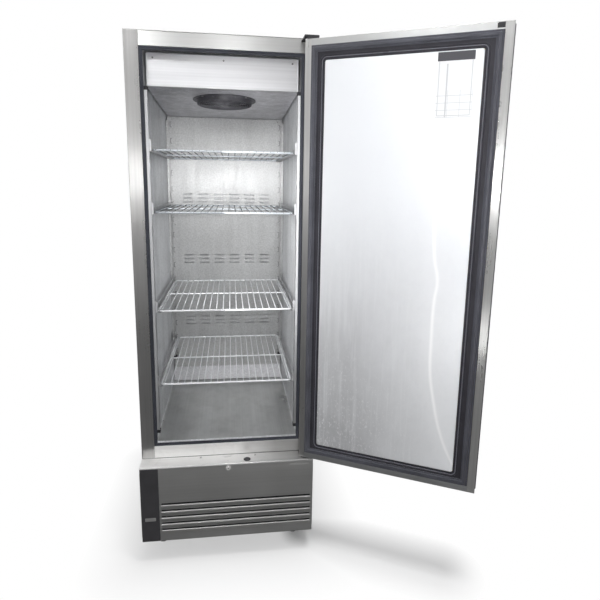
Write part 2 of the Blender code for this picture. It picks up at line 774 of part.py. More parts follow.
def shelf_runner(number, top, word):
    """Angle under the shelf's edge, with a web that rises at its ends and a front tab."""
    side = SIDES[word]
    web = span(side, 275.2, 276.6)
    leg = span(side, 255.0, 275.2)
    tab = span(side, 270.5, 276.6)
    front, back = 30.0, 683.0
    leg_top = top - BAR_HEIGHT - GAP
    low = top - BAR_HEIGHT - 1.7
    high = top + 34.0
    blocks(f"shelf_runner_{number}_{word}", "liner", [
        ("+", (*web, front, back, low, high)),
        ("+", (*leg, front, back, low, leg_top)),
        ("+", (*tab, front, front + 1.4, low, high)),
        ("-", (*web, 80.0, 640.0, top + 14.0, high)),
    ])


def wire_shelf(number, top):
    """Wires from front to back between bars, as one grid, on a sliding joint."""
    height = (top - BAR_HEIGHT, top)
    back = SHELF_FRONT + SHELF_DEPTH
    width = (-SHELF_HALF, SHELF_HALF)
    depth = (SHELF_FRONT, back)
    steps = [
        ("+", (*width, SHELF_FRONT, SHELF_FRONT + 7.0, *height)),
        ("+", (*width, back - BAR_WIDTH, back, *height)),
        ("+", (*width, 356.0, 356.0 + BAR_WIDTH, *height)),
        ("+", (-SHELF_HALF, -SHELF_HALF + BAR_WIDTH, *depth, *height)),
        ("+", (SHELF_HALF - BAR_WIDTH, SHELF_HALF, *depth, *height)),
    ]
    pitch = 2 * SHELF_HALF / SHELF_WIRES
    for i in range(SHELF_WIRES):
        x = -SHELF_HALF + pitch * (i + 0.5)
        steps.append(("+", (x - WIRE_HALF, x + WIRE_HALF, *depth, *height)))
    slide = pivot(f"shelf_slide_{number}", (0, SHELF_FRONT, top))
    hang(blocks(f"wire_shelf_{number}", "wire", steps), slide)


# ================================================================ unit compartment
CONDENSER_FAN_X, CONDENSER_FAN_Z = 30.0, 262.0
COMPRESSOR_X, COMPRESSOR_Y = -150.0, 540.0
CORD_X, CORD_Z = -319.0, 157.0  # where the cord passes through the rear grille


def compressor():
    """Domed pot on a foot plate, with a terminal box on its front."""
    # (radius, z)
    profile = [
        (0, 118.0), (70.0, 118.0), (82.0, 126.0), (84.0, 150.0),
        (86.0, 186.0), (88.0, 186.0), (88.0, 192.0), (84.0, 192.0),
        (82.0, 224.0), (66.0, 256.0), (36.0, 272.0), (0, 276.0),
    ]
    unite(
        lathe("compressor", "black", profile, (COMPRESSOR_X, COMPRESSOR_Y, 0), "Z", 18),
        helper_box("join_feet", -250.0, -50.0, 480.0, 600.0, 108.0, 120.0),
        helper_box("join_terminals", -186.0, -114.0, 440.0, 480.0, 150.0, 214.0),
    )


def condenser_coil():
    """Finned block with grooves in its front, between two end plates."""
    left, right, front, plate = -150.0, 210.0, 20.0, 6.0
    steps = [("+", (left, right, front, 84.0, 132.0, 392.0))]
    for i in range(8):
        x = -132.0 + 42.0 * i
        steps.append(("-", (x, x + 14.0, front, front + 5, 138.0, 386.0)))
    for x in (left - plate, right):
        steps.append(("+", (x, x + plate, 16.0, 88.0, 107.3, 396.0)))
    blocks("condenser_coil", "fins", steps)


def condenser_fan_motor():
    """Motor behind the blades, on a forked bracket with a foot."""
    x, z = CONDENSER_FAN_X, CONDENSER_FAN_Z
    # (radius, y)
    profile = [
        (0, 150.0), (6.0, 150.0), (6.0, 160.0), (44.0, 160.0),
        (46.0, 164.0), (46.0, 218.0), (40.0, 226.0), (0, 226.0),
    ]
    low, foot_top = 107.5, 112.0
    bracket = blocks("join_bracket", None, [
        ("+", (x - 25, x + 25, 180.0, 210.0, low, z)),
        ("-", (x - 20, x + 20, 180.0, 210.0, foot_top, 200.0)),
        ("+", (x - 60, x + 60, 176.0, 214.0, low, foot_top)),
    ])
    unite(lathe("condenser_fan_motor", "black", profile, (x, 0, z), "Y", 20), bracket)


def condenser_fan_blade():
    place = (CONDENSER_FAN_X, 128.0, CONDENSER_FAN_Z)
    axis = pivot("condenser_fan_axis", place, (math.radians(-90), 0, 0))
    fan_blade("condenser_fan_blade", 30.0, 116.0, -8.0, 18.0, axis)


def condensate_tray():
    """Open tray on four square feet."""
    low, high, wall, foot = 130.0, 178.0, 3.0, 20.0
    left, right, front, back = 40.0, 300.0, 480.0, 700.0
    steps = [
        ("+", (left, right, front, back, low, high)),
        ("-", (left + wall, right - wall, front + wall, back - wall, low + wall, high)),
    ]
    for x, y in product((60.0, 260.0), (500.0, 660.0)):
        steps.append(("+", (x, x + foot, y, y + foot, 107.3, low)))
    blocks("condensate_tray", "black", steps)


def refrigerant_line():
    """Pipe from the top of the compressor to the left end of the condenser."""
    run_z = 330.0
    path = [
        (COMPRESSOR_X, COMPRESSOR_Y, 276.8),
        (COMPRESSOR_X, COMPRESSOR_Y, run_z),
        (-240.0, COMPRESSOR_Y, run_z),
        (-240.0, 330.0, run_z),
        (-190.0, 330.0, run_z),
        (-190.0, 60.0, run_z),
        (-157.0, 60.0, run_z),
    ]
    tube("refrigerant_line", "copper", rounded(path, 16.0), 5.0)


def control_box():
    """Box on two upright straps at the left, with a recess in its front."""
    left, front, strap_width = -336.0, 60.0, 20.0
    steps = [("+", (left, -252.0, front, 230.0, 150.0, 320.0))]
    for y in (80.0, 190.0):
        steps.append(("+", (-343.6, left, y, y + strap_width, 107.4, 330.0)))
    steps.append(("-", (-322.0, -266.0, front, front + 3, 230.0, 300.0)))
    blocks("control_box", "grey_plastic", steps)


def unit_rear_grille():
    """Sheet with two columns of slots and a square hole for the cord."""
    steps = [("+", (-REAR_HALF, REAR_HALF, *REAR_SHEET_Y, 132.0, 436.0))]
    for row, column in product(range(6), range(2)):
        x = -300.0 + 320.0 * column
        z = 190.0 + 36.0 * row
        steps.append(("-", (x, x + 280.0, *REAR_SHEET_Y, z, z + 10.0)))
    hole = (CORD_X - 11, CORD_X + 11, *REAR_SHEET_Y, CORD_Z - 11, CORD_Z + 11)
    steps.append(("-", hole))
    blocks("unit_rear_grille", "galvanised", steps)


def power_cord():
    """Cord that leaves through the grille, loops behind it and ends in a plug."""
    hang_y = 778.0
    plug_x = CORD_X + 120
    path = [
        (CORD_X, 700.0, CORD_Z),
        (CORD_X, hang_y, CORD_Z),
        (CORD_X, hang_y, 30.0),
        (CORD_X + 70, hang_y, 30.0),
        (CORD_X + 70, hang_y, 300.0),
        (plug_x, hang_y, 300.0),
        (plug_x, hang_y, 60.0),
    ]
    plug_low = 24.0
    prong_y = (hang_y - 3, hang_y + 3)
    plug = blocks("join_plug", None, [
        ("+", (plug_x - 20, plug_x + 20, hang_y - 15, hang_y + 15, plug_low, 70.0)),
        ("+", (plug_x - 12, plug_x - 6, *prong_y, 6.0, plug_low)),
        ("+", (plug_x + 6, plug_x + 12, *prong_y, 6.0, plug_low)),
    ])
    unite(tube("power_cord", "black", rounded(path, 18.0), 4.0), plug)


# ================================================================ hinges
PIN_R = 5.0


def hinge_pin(name, low, high):
    return helper_rod(name, (HINGE_X, HINGE_Y), "Z", PIN_R, low, high)


def top_hinge_bracket():
    """Plate above the door with a leg behind it and a pin that points down."""
    # (x, y)
    outline = [
        (284.0, -0.4), (284.0, -30.0), (306.0, -54.0),
        (336.0, -54.0), (346.0, -44.0), (346.0, -0.4),
    ]
    unite(
        prism("top_hinge_bracket", "charcoal", outline, "Z", 2066.0, 2071.0),
        helper_box("join_top_leg", 290.0, 345.0, -3.4, -0.6, 2068.0, 2078.0),
        hinge_pin("join_top_pin", 2040.0, 2069.0),
    )


def bottom_hinge_bracket():
    """Plate on the ledge with a pin that points up."""
    # (x, y)
    outline = [
        (295.0, -0.7), (295.0, -40.0), (306.0, -60.0),
        (338.0, -60.0), (346.0, -50.0), (346.0, -0.7),
    ]
    unite(
        prism("bottom_hinge_bracket", "charcoal", outline, "Z", LEDGE_TOP + GAP, 439.8),
        hinge_pin("join_low_pin", 438.0, 464.0),
    )


# ================================================================ door, drawn closed
DOOR_LEFT, DOOR_RIGHT, DOOR_LOW, DOOR_HIGH = -347.5, 347.5, 441.0, 2063.0
DOOR_BACK_Y = -11.0  # plane of the door's steel rim
DOOR_OPEN_DEG = 151.5
HANDLE_RIGHT = -277.0  # the grip profile runs from the door's free edge to here
HANDLE_WALL = 2.5
STEP_X, STEP_Y = -276.4, -40.6  # where the steel steps behind the grip profile
EDGE_R = 10.0  # the rounded front edge on the hinge side
KNEE_X, KNEE_Y = DOOR_RIGHT - EDGE_R, PANEL_Y + EDGE_R  # centre of that edge's arc

# Rectangles on the back of the door: (left, right, low, high)
INNER_FRAME = (-319.0, 323.0, 465.0, 2040.0)
FRAME_OPENING = (-264.0, 271.0, 509.0, 1988.0)
LUG_WINDOW = (-318.5, -294.5, 2044.5, 2061.0)


def edge_point(radius, degrees):
    angle = math.radians(degrees)
    return KNEE_X + radius * math.cos(angle), KNEE_Y + radius * math.sin(angle)


def door_outer_pan():
    """Hollow steel skin, stepped at the left behind the grip and open at the back."""
    x_in, y_in = DOOR_RIGHT - SHEET, PANEL_Y + SHEET
    rim_front = DOOR_BACK_Y - SHEET
    warp = {
        (x_in, PANEL_Y): edge_point(EDGE_R, -62),
        (DOOR_RIGHT, PANEL_Y): edge_point(EDGE_R, -45),
        (DOOR_RIGHT, y_in): edge_point(EDGE_R, -28),
        (x_in, y_in): edge_point(EDGE_R - SHEET, -45),
    }
    full = (DOOR_LOW, DOOR_HIGH)
    hollow = (DOOR_LOW + SHEET, DOOR_HIGH - SHEET)
    steps = [
        # The knee of the rounded edge gets grid lines of its own.
        ("+", (STEP_X, KNEE_X, PANEL_Y, KNEE_Y, *full)),
        ("+", (KNEE_X, DOOR_RIGHT, PANEL_Y, KNEE_Y, *full)),
        ("+", (STEP_X, DOOR_RIGHT, KNEE_Y, DOOR_BACK_Y, *full)),
        ("+", (DOOR_LEFT, STEP_X, STEP_Y, DOOR_BACK_Y, *full)),
        ("-", (STEP_X + SHEET, x_in, y_in, STEP_Y + SHEET, *hollow)),
        ("-", (DOOR_LEFT + SHEET, x_in, STEP_Y + SHEET, rim_front, *hollow)),
        ("-", slab(inset(INNER_FRAME, -GAP), rim_front, DOOR_BACK_Y)),
    ]
    hinge, bush_r = (HINGE_X, HINGE_Y), 6.2
    return cut(
        blocks("door_outer_pan", "steel", steps, warp),
        helper_rod("cut_top_bush", hinge, "Z", bush_r, 2050.0, 2075.0),
        helper_rod("cut_low_bush", hinge, "Z", bush_r, 430.0, 450.0),
        helper_box("cut_grip_block", *slab(LUG_WINDOW, -15.0, -5.0)),
    )


def door_insulation():
    """Foam that fills the pan, with pockets for the lug and the hinge pins."""
    front, knee_y, step_y, back = -69.8, -61.0, -38.4, -15.5
    left, knee_x, right = STEP_X + 2, 336.0, 345.0
    high = DOOR_HIGH - 2
    height = (DOOR_LOW + 2, high)
    steps = [
        ("+", (left, knee_x, front, knee_y, *height)),
        ("+", (knee_x, right, front, knee_y, *height)),
        ("+", (left, right, knee_y, step_y, *height)),
        ("+", (DOOR_LEFT + 2, right, step_y, back, *height)),
        ("-", (-324.0, -289.0, -22.0, back, 2034.0, high)),
    ]
    hinge, pocket_r = (HINGE_X, HINGE_Y), 8.0
    return cut(
        blocks("door_insulation", "foam", steps, {(right, front): (341.5, -66.3)}),
        helper_rod("cut_top_pocket", hinge, "Z", pocket_r, 2034.0, 2070.0, 12),
        helper_rod("cut_low_pocket", hinge, "Z", pocket_r, 435.0, 470.0, 12),
    )


def door_inner_frame():
    front, back = -15.0, -9.0
    left, right, low, high = inset(LUG_WINDOW, GAP)
    return blocks("door_inner_frame", "slate", [
        ("+", slab(INNER_FRAME, front, back)),
        ("-", slab(inset(INNER_FRAME, 2.0), front, -11.0)),
        ("-", slab(FRAME_OPENING, front, back)),
        # lug at the top left corner, which shows through a window in the steel rim
        ("+", (left, right, -21.0, -12.5, 2036.0, high)),
        ("+", (left, right, -12.5, -9.4, low, high)),
    ])


def door_gasket():
    front, back = -8.7, -0.6
    return blocks("door_gasket", "gasket", [
        ("+", slab(inset(INNER_FRAME, 1.0), front, back)),
        ("-", slab(inset(INNER_FRAME, 25.0), front, back)),
    ])


def door_inner_panel():
    """Shallow pan in the frame's opening, hollow on the side towards the foam."""
    front, back = -14.6, -8.0
    return blocks("door_inner_panel", "pale_panel", [
        ("+", slab(inset(FRAME_OPENING, GAP), front, back)),
        ("-", slab(inset(FRAME_OPENING, GAP + SHEET), front, back - SHEET)),
    ])


def door_handle_profile():
    """Full-height hollow grip with a slot in its front and closed ends."""
    wall_y = PANEL_Y + HANDLE_WALL
    back = STEP_Y - GAP
    hollow_x = (DOOR_LEFT + HANDLE_WALL, HANDLE_RIGHT - HANDLE_WALL)
    hollow_z = (DOOR_LOW + HANDLE_WALL, DOOR_HIGH - HANDLE_WALL)
    return blocks("door_handle_profile", "charcoal", [
        ("+", (DOOR_LEFT, HANDLE_RIGHT, PANEL_Y, back, DOOR_LOW, DOOR_HIGH)),
        ("-", (*hollow_x, wall_y, back - HANDLE_WALL, *hollow_z)),
        ("-", (-318.0, -292.0, PANEL_Y, wall_y, *hollow_z)),
    ])


def door():
    """All the door's pieces, hung closed on the hinge line and then swung open."""
    swing = pivot("door_swing", (HINGE_X, HINGE_Y, 0))
    for make in (
        door_outer_pan, door_insulation, door_inner_frame, door_gasket,
        door_inner_panel, door_handle_profile,
    ):
        hang(make(), swing)
    swing.rotation_euler = (0, 0, math.radians(DOOR_OPEN_DEG))


# ================================================================ assembly
def cabinet():
    cabinet_shell()
    rear_panel()
    cabinet_insulation()
    interior_liner()
    breaker_frame()
    compartment_ledge()
    ledge_plug()


def undercarriage():
    base_chassis()
    for corner, (x, y) in CASTORS.items():
        castor(corner, x, y)


def interior():
    evaporator_cover()
    evaporator_fan()
    evaporator_coil()
    rear_duct_panel()
    for place, word in product(POSTS, SIDES):
        racking_post(place, word)
    for number, top in enumerate(SHELF_TOPS, 1):
        for word in SIDES:
            shelf_runner(number, top, word)
        wire_shelf(number, top)


def cooling_unit():
    compressor()
    condenser_coil()
    condenser_fan_motor()
    condenser_fan_blade()
    condensate_tray()
    refrigerant_line()
    control_box()
    unit_rear_grille()
    power_cord()


def lower_to_origin():
    """Brings the base's underside to z = 0; children follow their parents."""
    for obj in bpy.data.objects:
        if obj.parent is None:
            obj.location.z -= BASE * MM


cabinet()
undercarriage()
front_panel()
interior()
cooling_unit()
top_hinge_bracket()
bottom_hinge_bracket()
door()
lower_to_origin()
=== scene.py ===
"""One-door reach-in refrigerator with its door open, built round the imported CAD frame.

Pieces are drawn in millimetres, with heights measured from the floor under the castors.
Seen from the front, +X is right and +Y is back; the front of the stiles lies at y = 0.
The door's pieces are drawn closed and then swung about the hinge to where the CAD has them.
Materials, lights and the camera work in metres.
"""

import json
import math
from collections import namedtuple

import bmesh
import bpy
from mathutils import Matrix, Vector


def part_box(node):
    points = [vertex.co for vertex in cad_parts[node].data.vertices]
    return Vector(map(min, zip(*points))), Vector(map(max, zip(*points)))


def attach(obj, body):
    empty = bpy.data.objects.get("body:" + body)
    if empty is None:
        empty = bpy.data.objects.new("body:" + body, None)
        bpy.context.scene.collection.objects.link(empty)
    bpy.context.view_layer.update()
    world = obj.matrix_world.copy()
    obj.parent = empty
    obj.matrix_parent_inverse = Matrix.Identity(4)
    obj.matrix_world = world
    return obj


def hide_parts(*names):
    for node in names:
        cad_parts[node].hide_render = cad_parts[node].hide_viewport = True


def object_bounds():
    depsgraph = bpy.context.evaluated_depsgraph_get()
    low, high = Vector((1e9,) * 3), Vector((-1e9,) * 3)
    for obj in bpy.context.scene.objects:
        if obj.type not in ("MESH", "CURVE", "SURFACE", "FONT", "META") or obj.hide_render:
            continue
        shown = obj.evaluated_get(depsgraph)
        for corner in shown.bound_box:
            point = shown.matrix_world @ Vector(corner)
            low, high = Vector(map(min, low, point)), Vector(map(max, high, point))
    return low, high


def scene_bounds():
    return [[float(value) for value in corner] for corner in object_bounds()]


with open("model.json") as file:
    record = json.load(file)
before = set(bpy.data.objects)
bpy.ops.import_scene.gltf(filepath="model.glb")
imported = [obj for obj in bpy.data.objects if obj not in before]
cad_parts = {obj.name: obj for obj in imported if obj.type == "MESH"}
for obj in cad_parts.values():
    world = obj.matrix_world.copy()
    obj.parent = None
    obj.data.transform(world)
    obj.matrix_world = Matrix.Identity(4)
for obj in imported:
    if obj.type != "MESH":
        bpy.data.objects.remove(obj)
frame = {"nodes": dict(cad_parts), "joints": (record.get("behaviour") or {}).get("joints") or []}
CAD_BOUNDS = scene_bounds()
FLOOR = CAD_BOUNDS[0][2]  # scene height of the floor, in metres
MM = 0.001
SCENE = bpy.context.scene
SIDES = (("left", -1), ("right", 1))
SHEET = 1.2  # thickness of the outer steel sheet

HINGE = {joint["name"]: joint for joint in frame["joints"]}["door_hinge"]
OPEN = math.radians(-HINGE["range_deg"][0])
HINGE_X_M, HINGE_Y_M = HINGE["pos_m"][:2]
HINGE_X, HINGE_Y = HINGE_X_M / MM, HINGE_Y_M / MM
SWING = (
    Matrix.Translation((HINGE_X_M, HINGE_Y_M, 0))
    @ Matrix.Rotation(OPEN, 4, "Z")
    @ Matrix.Translation((-HINGE_X_M, -HINGE_Y_M, 0))
)
UNSWING = SWING.inverted()
Box = namedtuple("Box", "x0 x1 y0 y1 z0 z1")


def cad_box(node):
    """A CAD node's box in floor millimetres; a door node is measured with the door closed."""
    if node.startswith("door_"):
        points = [UNSWING @ vert.co for vert in frame["nodes"][node].data.vertices]
        low = Vector((min(p[i] for p in points) for i in range(3)))
        high = Vector((max(p[i] for p in points) for i in range(3)))
    else:
        low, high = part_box(node)
    sides = (low.x, high.x, low.y, high.y, low.z - FLOOR, high.z - FLOOR)
    return Box(*(round(value / MM, 3) for value in sides))


# ---- node helpers ----
class Nodes:
    """Short ways to add nodes to a shader tree."""

    def __init__(self, tree):
        self.tree = tree

    def put(self, socket, value):
        if isinstance(value, bpy.types.NodeSocket):
            self.tree.links.new(value, socket)
        elif isinstance(value, (tuple, list)) and len(value) == 3 and socket.type == "RGBA":
            socket.default_value = (*value, 1.0)
        else:
            socket.default_value = value

    def node(self, kind, out=0, props=None, **inputs):
        """Adds a node and returns one output; i0, i1... are inputs by number."""
        node = self.tree.nodes.new("ShaderNode" + kind)
        for key, value in (props or {}).items():
            setattr(node, key, value)
        for key, value in inputs.items():
            numbered = key[0] == "i" and key[1:].isdigit()
            self.put(node.inputs[int(key[1:]) if numbered else key.replace("_", " ")], value)
        return node.outputs[out]

    def xyz(self, vector):
        return self.node("SeparateXYZ", Vector=vector).node.outputs

    def math(self, operation, a, b=0, c=0, clamp=False):
        props = {"operation": operation, "use_clamp": clamp}
        return self.node("Math", props=props, i0=a, i1=b, i2=c)

    def plus(self, a, b):
        return self.math("ADD", a, b)

    def minus(self, a, b):
        return self.math("SUBTRACT", a, b)

    def times(self, a, b, clamp=False):
        return self.math("MULTIPLY", a, b, clamp=clamp)

    def fit(self, value, low, high, to_low=0, to_high=1):
        """Maps low..high to to_low..to_high, clamped."""
        return self.node(
            "MapRange", Value=value, From_Min=low, From_Max=high, To_Min=to_low, To_Max=to_high
        )

    def mix(self, amount, a, b, blend="MIX"):
        props = {"data_type": "RGBA", "blend_type": blend}
        return self.node("Mix", out=2, props=props, i0=amount, i6=a, i7=b)

    def shaded(self, colour, shade):
        """A colour multiplied by one grey value."""
        grey = self.node("CombineColor", i0=shade, i1=shade, i2=shade)
        return self.mix(1, colour, grey, "MULTIPLY")


class Look(Nodes):
    """One material, textured in object coordinates."""

    def __init__(self, name):
        self.material = bpy.data.materials.new(name)
        self.material.use_nodes = True
        super().__init__(self.material.node_tree)
        self.coord = self.node("TexCoord", out="Object")

    def finish(self, **inputs):
        """Sets the Principled shader's inputs and returns the material."""
        shader = self.tree.nodes["Principled BSDF"]
        for key, value in inputs.items():
            self.put(shader.inputs[key.replace("_", " ")], value)
        return self.material

    def place(self, scale, shift=(0, 0, 0)):
        scale = scale if isinstance(scale, (tuple, list)) else (scale,) * 3
        return self.node("Mapping", Vector=self.coord, Scale=scale, Location=shift)

    def noise(self, scale, detail=4, rough=0.6, distort=0, shift=(0, 0, 0)):
        return self.node(
            "TexNoise", Vector=self.place(scale, shift), Scale=1, Detail=detail,
            Roughness=rough, Distortion=distort,
        )

    def bump(self, height, strength, distance):
        return self.node("Bump", Height=height, Strength=strength, Distance=distance)

    def across(self, direction):
        """A fixed direction of the piece as a shading tangent."""
        props = {"vector_type": "VECTOR", "convert_from": "OBJECT", "convert_to": "WORLD"}
        return self.node("VectorTransform", props=props, i0=direction)

    def edges(self, radius):
        """1 near a sharp edge, 0 elsewhere."""
        bevel = self.node("Bevel", props={"samples": 4}, Radius=radius)
        normal = self.node("NewGeometry", out="Normal")
        dot = self.node(
            "VectorMath", out=1, props={"operation": "DOT_PRODUCT"}, i0=bevel, i1=normal
        )
        return self.fit(dot, 0.995, 0.9)


# ---- mesh helpers ----
def build(name, mesh, look, node, body="cabinet", smooth=35, stands_in=False):
    """Turns a mesh in floor millimetres into an object on a body; a piece that stands in for a CAD
    node hides that node.

    Edges sharper than smooth degrees stay sharp; look is a material or a list of them.
    """
    bmesh.ops.recalc_face_normals(mesh, faces=mesh.faces)
    for vert in mesh.verts:
        x, y, z = vert.co
        vert.co = Vector((x * MM, y * MM, z * MM + FLOOR))
    data = bpy.data.meshes.new(name)
    mesh.to_mesh(data)
    mesh.free()
    data.shade_smooth()
    data.set_sharp_from_angle(angle=math.radians(smooth))
    obj = bpy.data.objects.new(name, data)
    SCENE.collection.objects.link(obj)
    for material in look if isinstance(look, list) else [look]:
        data.materials.append(material)
    if smooth < 60:
        # wide flat faces keep their own direction beside narrow rounded edges
        even = obj.modifiers.new("even", "WEIGHTED_NORMAL")
        even.mode = "FACE_AREA"
        even.weight = 90
        even.keep_sharp = True
    if body == "door":
        obj.matrix_world = SWING
    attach(obj, body)
    if stands_in:
        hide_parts(node)


def replace(*args, **options):
    """Builds the piece that takes the CAD node's place."""
    build(*args, stands_in=True, **options)


def merge(base, *others):
    """Adds other meshes' shapes to the first mesh."""
    for other in others:
        temp = bpy.data.meshes.new("temp")
        other.to_mesh(temp)
        other.free()
        base.from_mesh(temp)
        bpy.data.meshes.remove(temp)
    return base


def join(meshes):
    return merge(bmesh.new(), *meshes)


def move(mesh, matrix):
    for vert in mesh.verts:
        vert.co = matrix @ vert.co
    return mesh


def bridge(mesh, ring_a, ring_b):
    """Joins two closed rings of vertices with a band of faces."""
    count = len(ring_a)
    for i in range(count):
        j = (i + 1) % count
        mesh.faces.new((ring_a[i], ring_a[j], ring_b[j], ring_b[i]))


def recalc(mesh):
    bmesh.ops.recalc_face_normals(mesh, faces=mesh.faces)
    return mesh


def soften(mesh, width, segments):
    """Rounds every edge sharper than 38 degrees."""
    if width > 0:
        limit = math.radians(38)
        sharp = [
            e for e in mesh.edges if len(e.link_faces) == 2 and e.calc_face_angle(0) > limit
        ]
        bmesh.ops.bevel(
            mesh, geom=sharp, offset=width, offset_type="OFFSET", segments=segments,
            profile=0.5, affect="EDGES", clamp_overlap=True,
        )
    return mesh


def block(x0, x1, y0, y1, z0, z1, edge=0, segments=2):
    """A box; x0 and x1 may come in either order, and so may the others."""
    mesh = bmesh.new()
    bmesh.ops.create_cube(mesh, size=1.0)
    spans = [sorted(pair) for pair in ((x0, x1), (y0, y1), (z0, z1))]
    for vert in mesh.verts:
        vert.co = Vector([span[c >= 0] for span, c in zip(spans, vert.co)])
    return soften(mesh, edge, segments)


TURN = {  # how an outline (u, v) pushed along w becomes x, y, z
    "X": lambda u, v, w: (w, u, v),
    "Y": lambda u, v, w: (u, w, v),
    "Z": lambda u, v, w: (u, v, w),
}


def prism(outline, axis, low, high, edge=0, segments=2):
    mesh = bmesh.new()
    put = TURN[axis]
    ends = [[mesh.verts.new(put(u, v, w)) for u, v in outline] for w in sorted((low, high))]
    for end in ends:
        mesh.faces.new(end)
    bridge(mesh, *ends)
    return soften(recalc(mesh), edge, segments)


def fillet(points, radius, steps=5, closed=False):
    """Rounds the corners of a line of 2-D or 3-D points; radius may be a list, one a point."""
    points = [Vector(point) for point in points]
    count = len(points)
    rounded = []
    for i, point in enumerate(points):
        if not closed and i in (0, count - 1):
            rounded.append(point)
            continue
        r = radius[i] if isinstance(radius, (list, tuple)) else radius
        back = points[i - 1] - point
        ahead = points[(i + 1) % count] - point
        back_length, ahead_length = back.length, ahead.length
        back.normalize()
        ahead.normalize()
        half = math.acos(max(-1.0, min(1.0, back.dot(ahead)))) / 2
        if r <= 0 or half < 1e-3 or abs(half - math.pi / 2) < 1e-3:
            rounded.append(point)
            continue
        cut = min(r / math.tan(half), back_length * 0.49, ahead_length * 0.49)
        r = cut * math.tan(half)
        centre = point + (back + ahead).normalized() * (r / math.sin(half))
        start, end = point + back * cut - centre, point + ahead * cut - centre
        total = math.acos(max(-1.0, min(1.0, start.normalized().dot(end.normalized()))))
        for k in range(steps + 1):
            t = k / steps
            spoke = start * math.sin((1 - t) * total) + end * math.sin(t * total)
            rounded.append(centre + spoke / math.sin(total))
    return rounded


def thick(line, width, side=1):
    """A 2-D line given a wall thickness, as a closed outline; side 1 is left of its run."""
    points = [Vector(point[:2]) for point in line]
    offset = []
    for i, point in enumerate(points):
        before = (point - points[i - 1]).normalized() if i else None
        after = (points[i + 1] - point).normalized() if i < len(points) - 1 else None
        before = before or after
        after = after or before
        normal = Vector((-before.y, before.x))
        mitre = (normal + Vector((-after.y, after.x))).normalized()
        offset.append(point + mitre * (width * side / max(0.35, mitre.dot(normal))))
    return points + offset[::-1]


def fold(points, radii, steps, wall, axis, low, high, side=1, edge=0):
    """Bent sheet: a filleted line with a wall thickness, pushed along an axis."""
    return prism(thick(fillet(points, radii, steps), wall, side), axis, low, high, edge)


def box_loop(x0, x1, z0, z1, radius=0, steps=6):
    points = [(x0, z0), (x1, z0), (x1, z1), (x0, z1)]
    return fillet(points, radius, steps, closed=True) if radius > 0 else points


def round_loop(x, z, radius, count):
    angles = [2 * math.pi * i / count for i in range(count)]
    return [(x + radius * math.cos(a), z + radius * math.sin(a)) for a in angles]


def slot_loop(x0, x1, z0, z1):
    """A slot with nearly half-round ends."""
    return box_loop(x0, x1, z0, z1, min(x1 - x0, z1 - z0) / 2 * 0.98, 4)


def baked(data, wall=0):
    """The evaluated mesh of a curve or mesh, with a wall added on its outside if given."""
    obj = bpy.data.objects.new("temp", data)
    SCENE.collection.objects.link(obj)
    if wall:
        solid = obj.modifiers.new("wall", "SOLIDIFY")
        solid.thickness = wall
        solid.offset = 1.0
        solid.use_even_offset = True
    bpy.context.view_layer.update()
    evaluated = obj.evaluated_get(bpy.context.evaluated_depsgraph_get())
    result = bpy.data.meshes.new_from_object(evaluated)
    bpy.data.objects.remove(obj)
    mesh = bmesh.new()
    mesh.from_mesh(result)
    bpy.data.meshes.remove(result)
    return mesh


def plate(outer, axis, low, high, edge=0.25, holes=()):
    """A flat sheet with holes and lightly rounded edges, made from a filled curve."""
    low, high = sorted((low, high))
    curve = bpy.data.curves.new("temp", "CURVE")
    curve.dimensions = "2D"
    curve.fill_mode = "BOTH"
    curve.extrude = max(1e-4, (high - low) / 2 - edge)
    curve.bevel_depth = edge
    curve.bevel_resolution = 1
    curve.offset = -edge
    for loop in [outer, *holes]:
        spline = curve.splines.new("POLY")
        spline.points.add(len(loop) - 1)
        for point, (u, v) in zip(spline.points, loop):
            point.co = (u, v, 0, 1)
        spline.use_cyclic_u = True
    mesh = baked(curve)
    bpy.data.curves.remove(curve)
    bmesh.ops.remove_doubles(mesh, verts=mesh.verts, dist=0.003)
    put, middle = TURN[axis], (low + high) / 2
    for vert in mesh.verts:
        vert.co = Vector(put(vert.co.x, vert.co.y, vert.co.z + middle))
    return recalc(mesh)


def lathe(profile, steps, centre=(0, 0, 0), axis="Z"):
    """Turns (radius, height) points about an axis through centre.

    A profile off the axis at both ends is closed into a hollow ring.
    """
    mesh = bmesh.new()
    rings = []
    for radius, height in profile:
        if radius < 1e-6:
            rings.append([mesh.verts.new((0, 0, height))])
        else:
            loop = round_loop(0, 0, radius, steps)
            rings.append([mesh.verts.new((x, y, height)) for x, y in loop])
    for ring_a, ring_b in zip(rings, rings[1:]):
        if len(ring_a) > 1 and len(ring_b) > 1:
            bridge(mesh, ring_a, ring_b)
            continue
        for i in range(steps):
            j = (i + 1) % steps
            if len(ring_a) == 1:
                mesh.faces.new((ring_a[0], ring_b[i], ring_b[j]))
            else:
                mesh.faces.new((ring_a[i], ring_a[j], ring_b[0]))
    if len(rings[0]) > 1:
        bridge(mesh, rings[-1], rings[0])
    turn = {
        "X": Matrix.Rotation(math.pi / 2, 4, "Y"),
        "Y": Matrix.Rotation(-math.pi / 2, 4, "X"),
        "Z": Matrix.Identity(4),
    }[axis]
    for vert in mesh.verts:
        vert.co = turn @ vert.co + Vector(centre)
    return recalc(mesh)


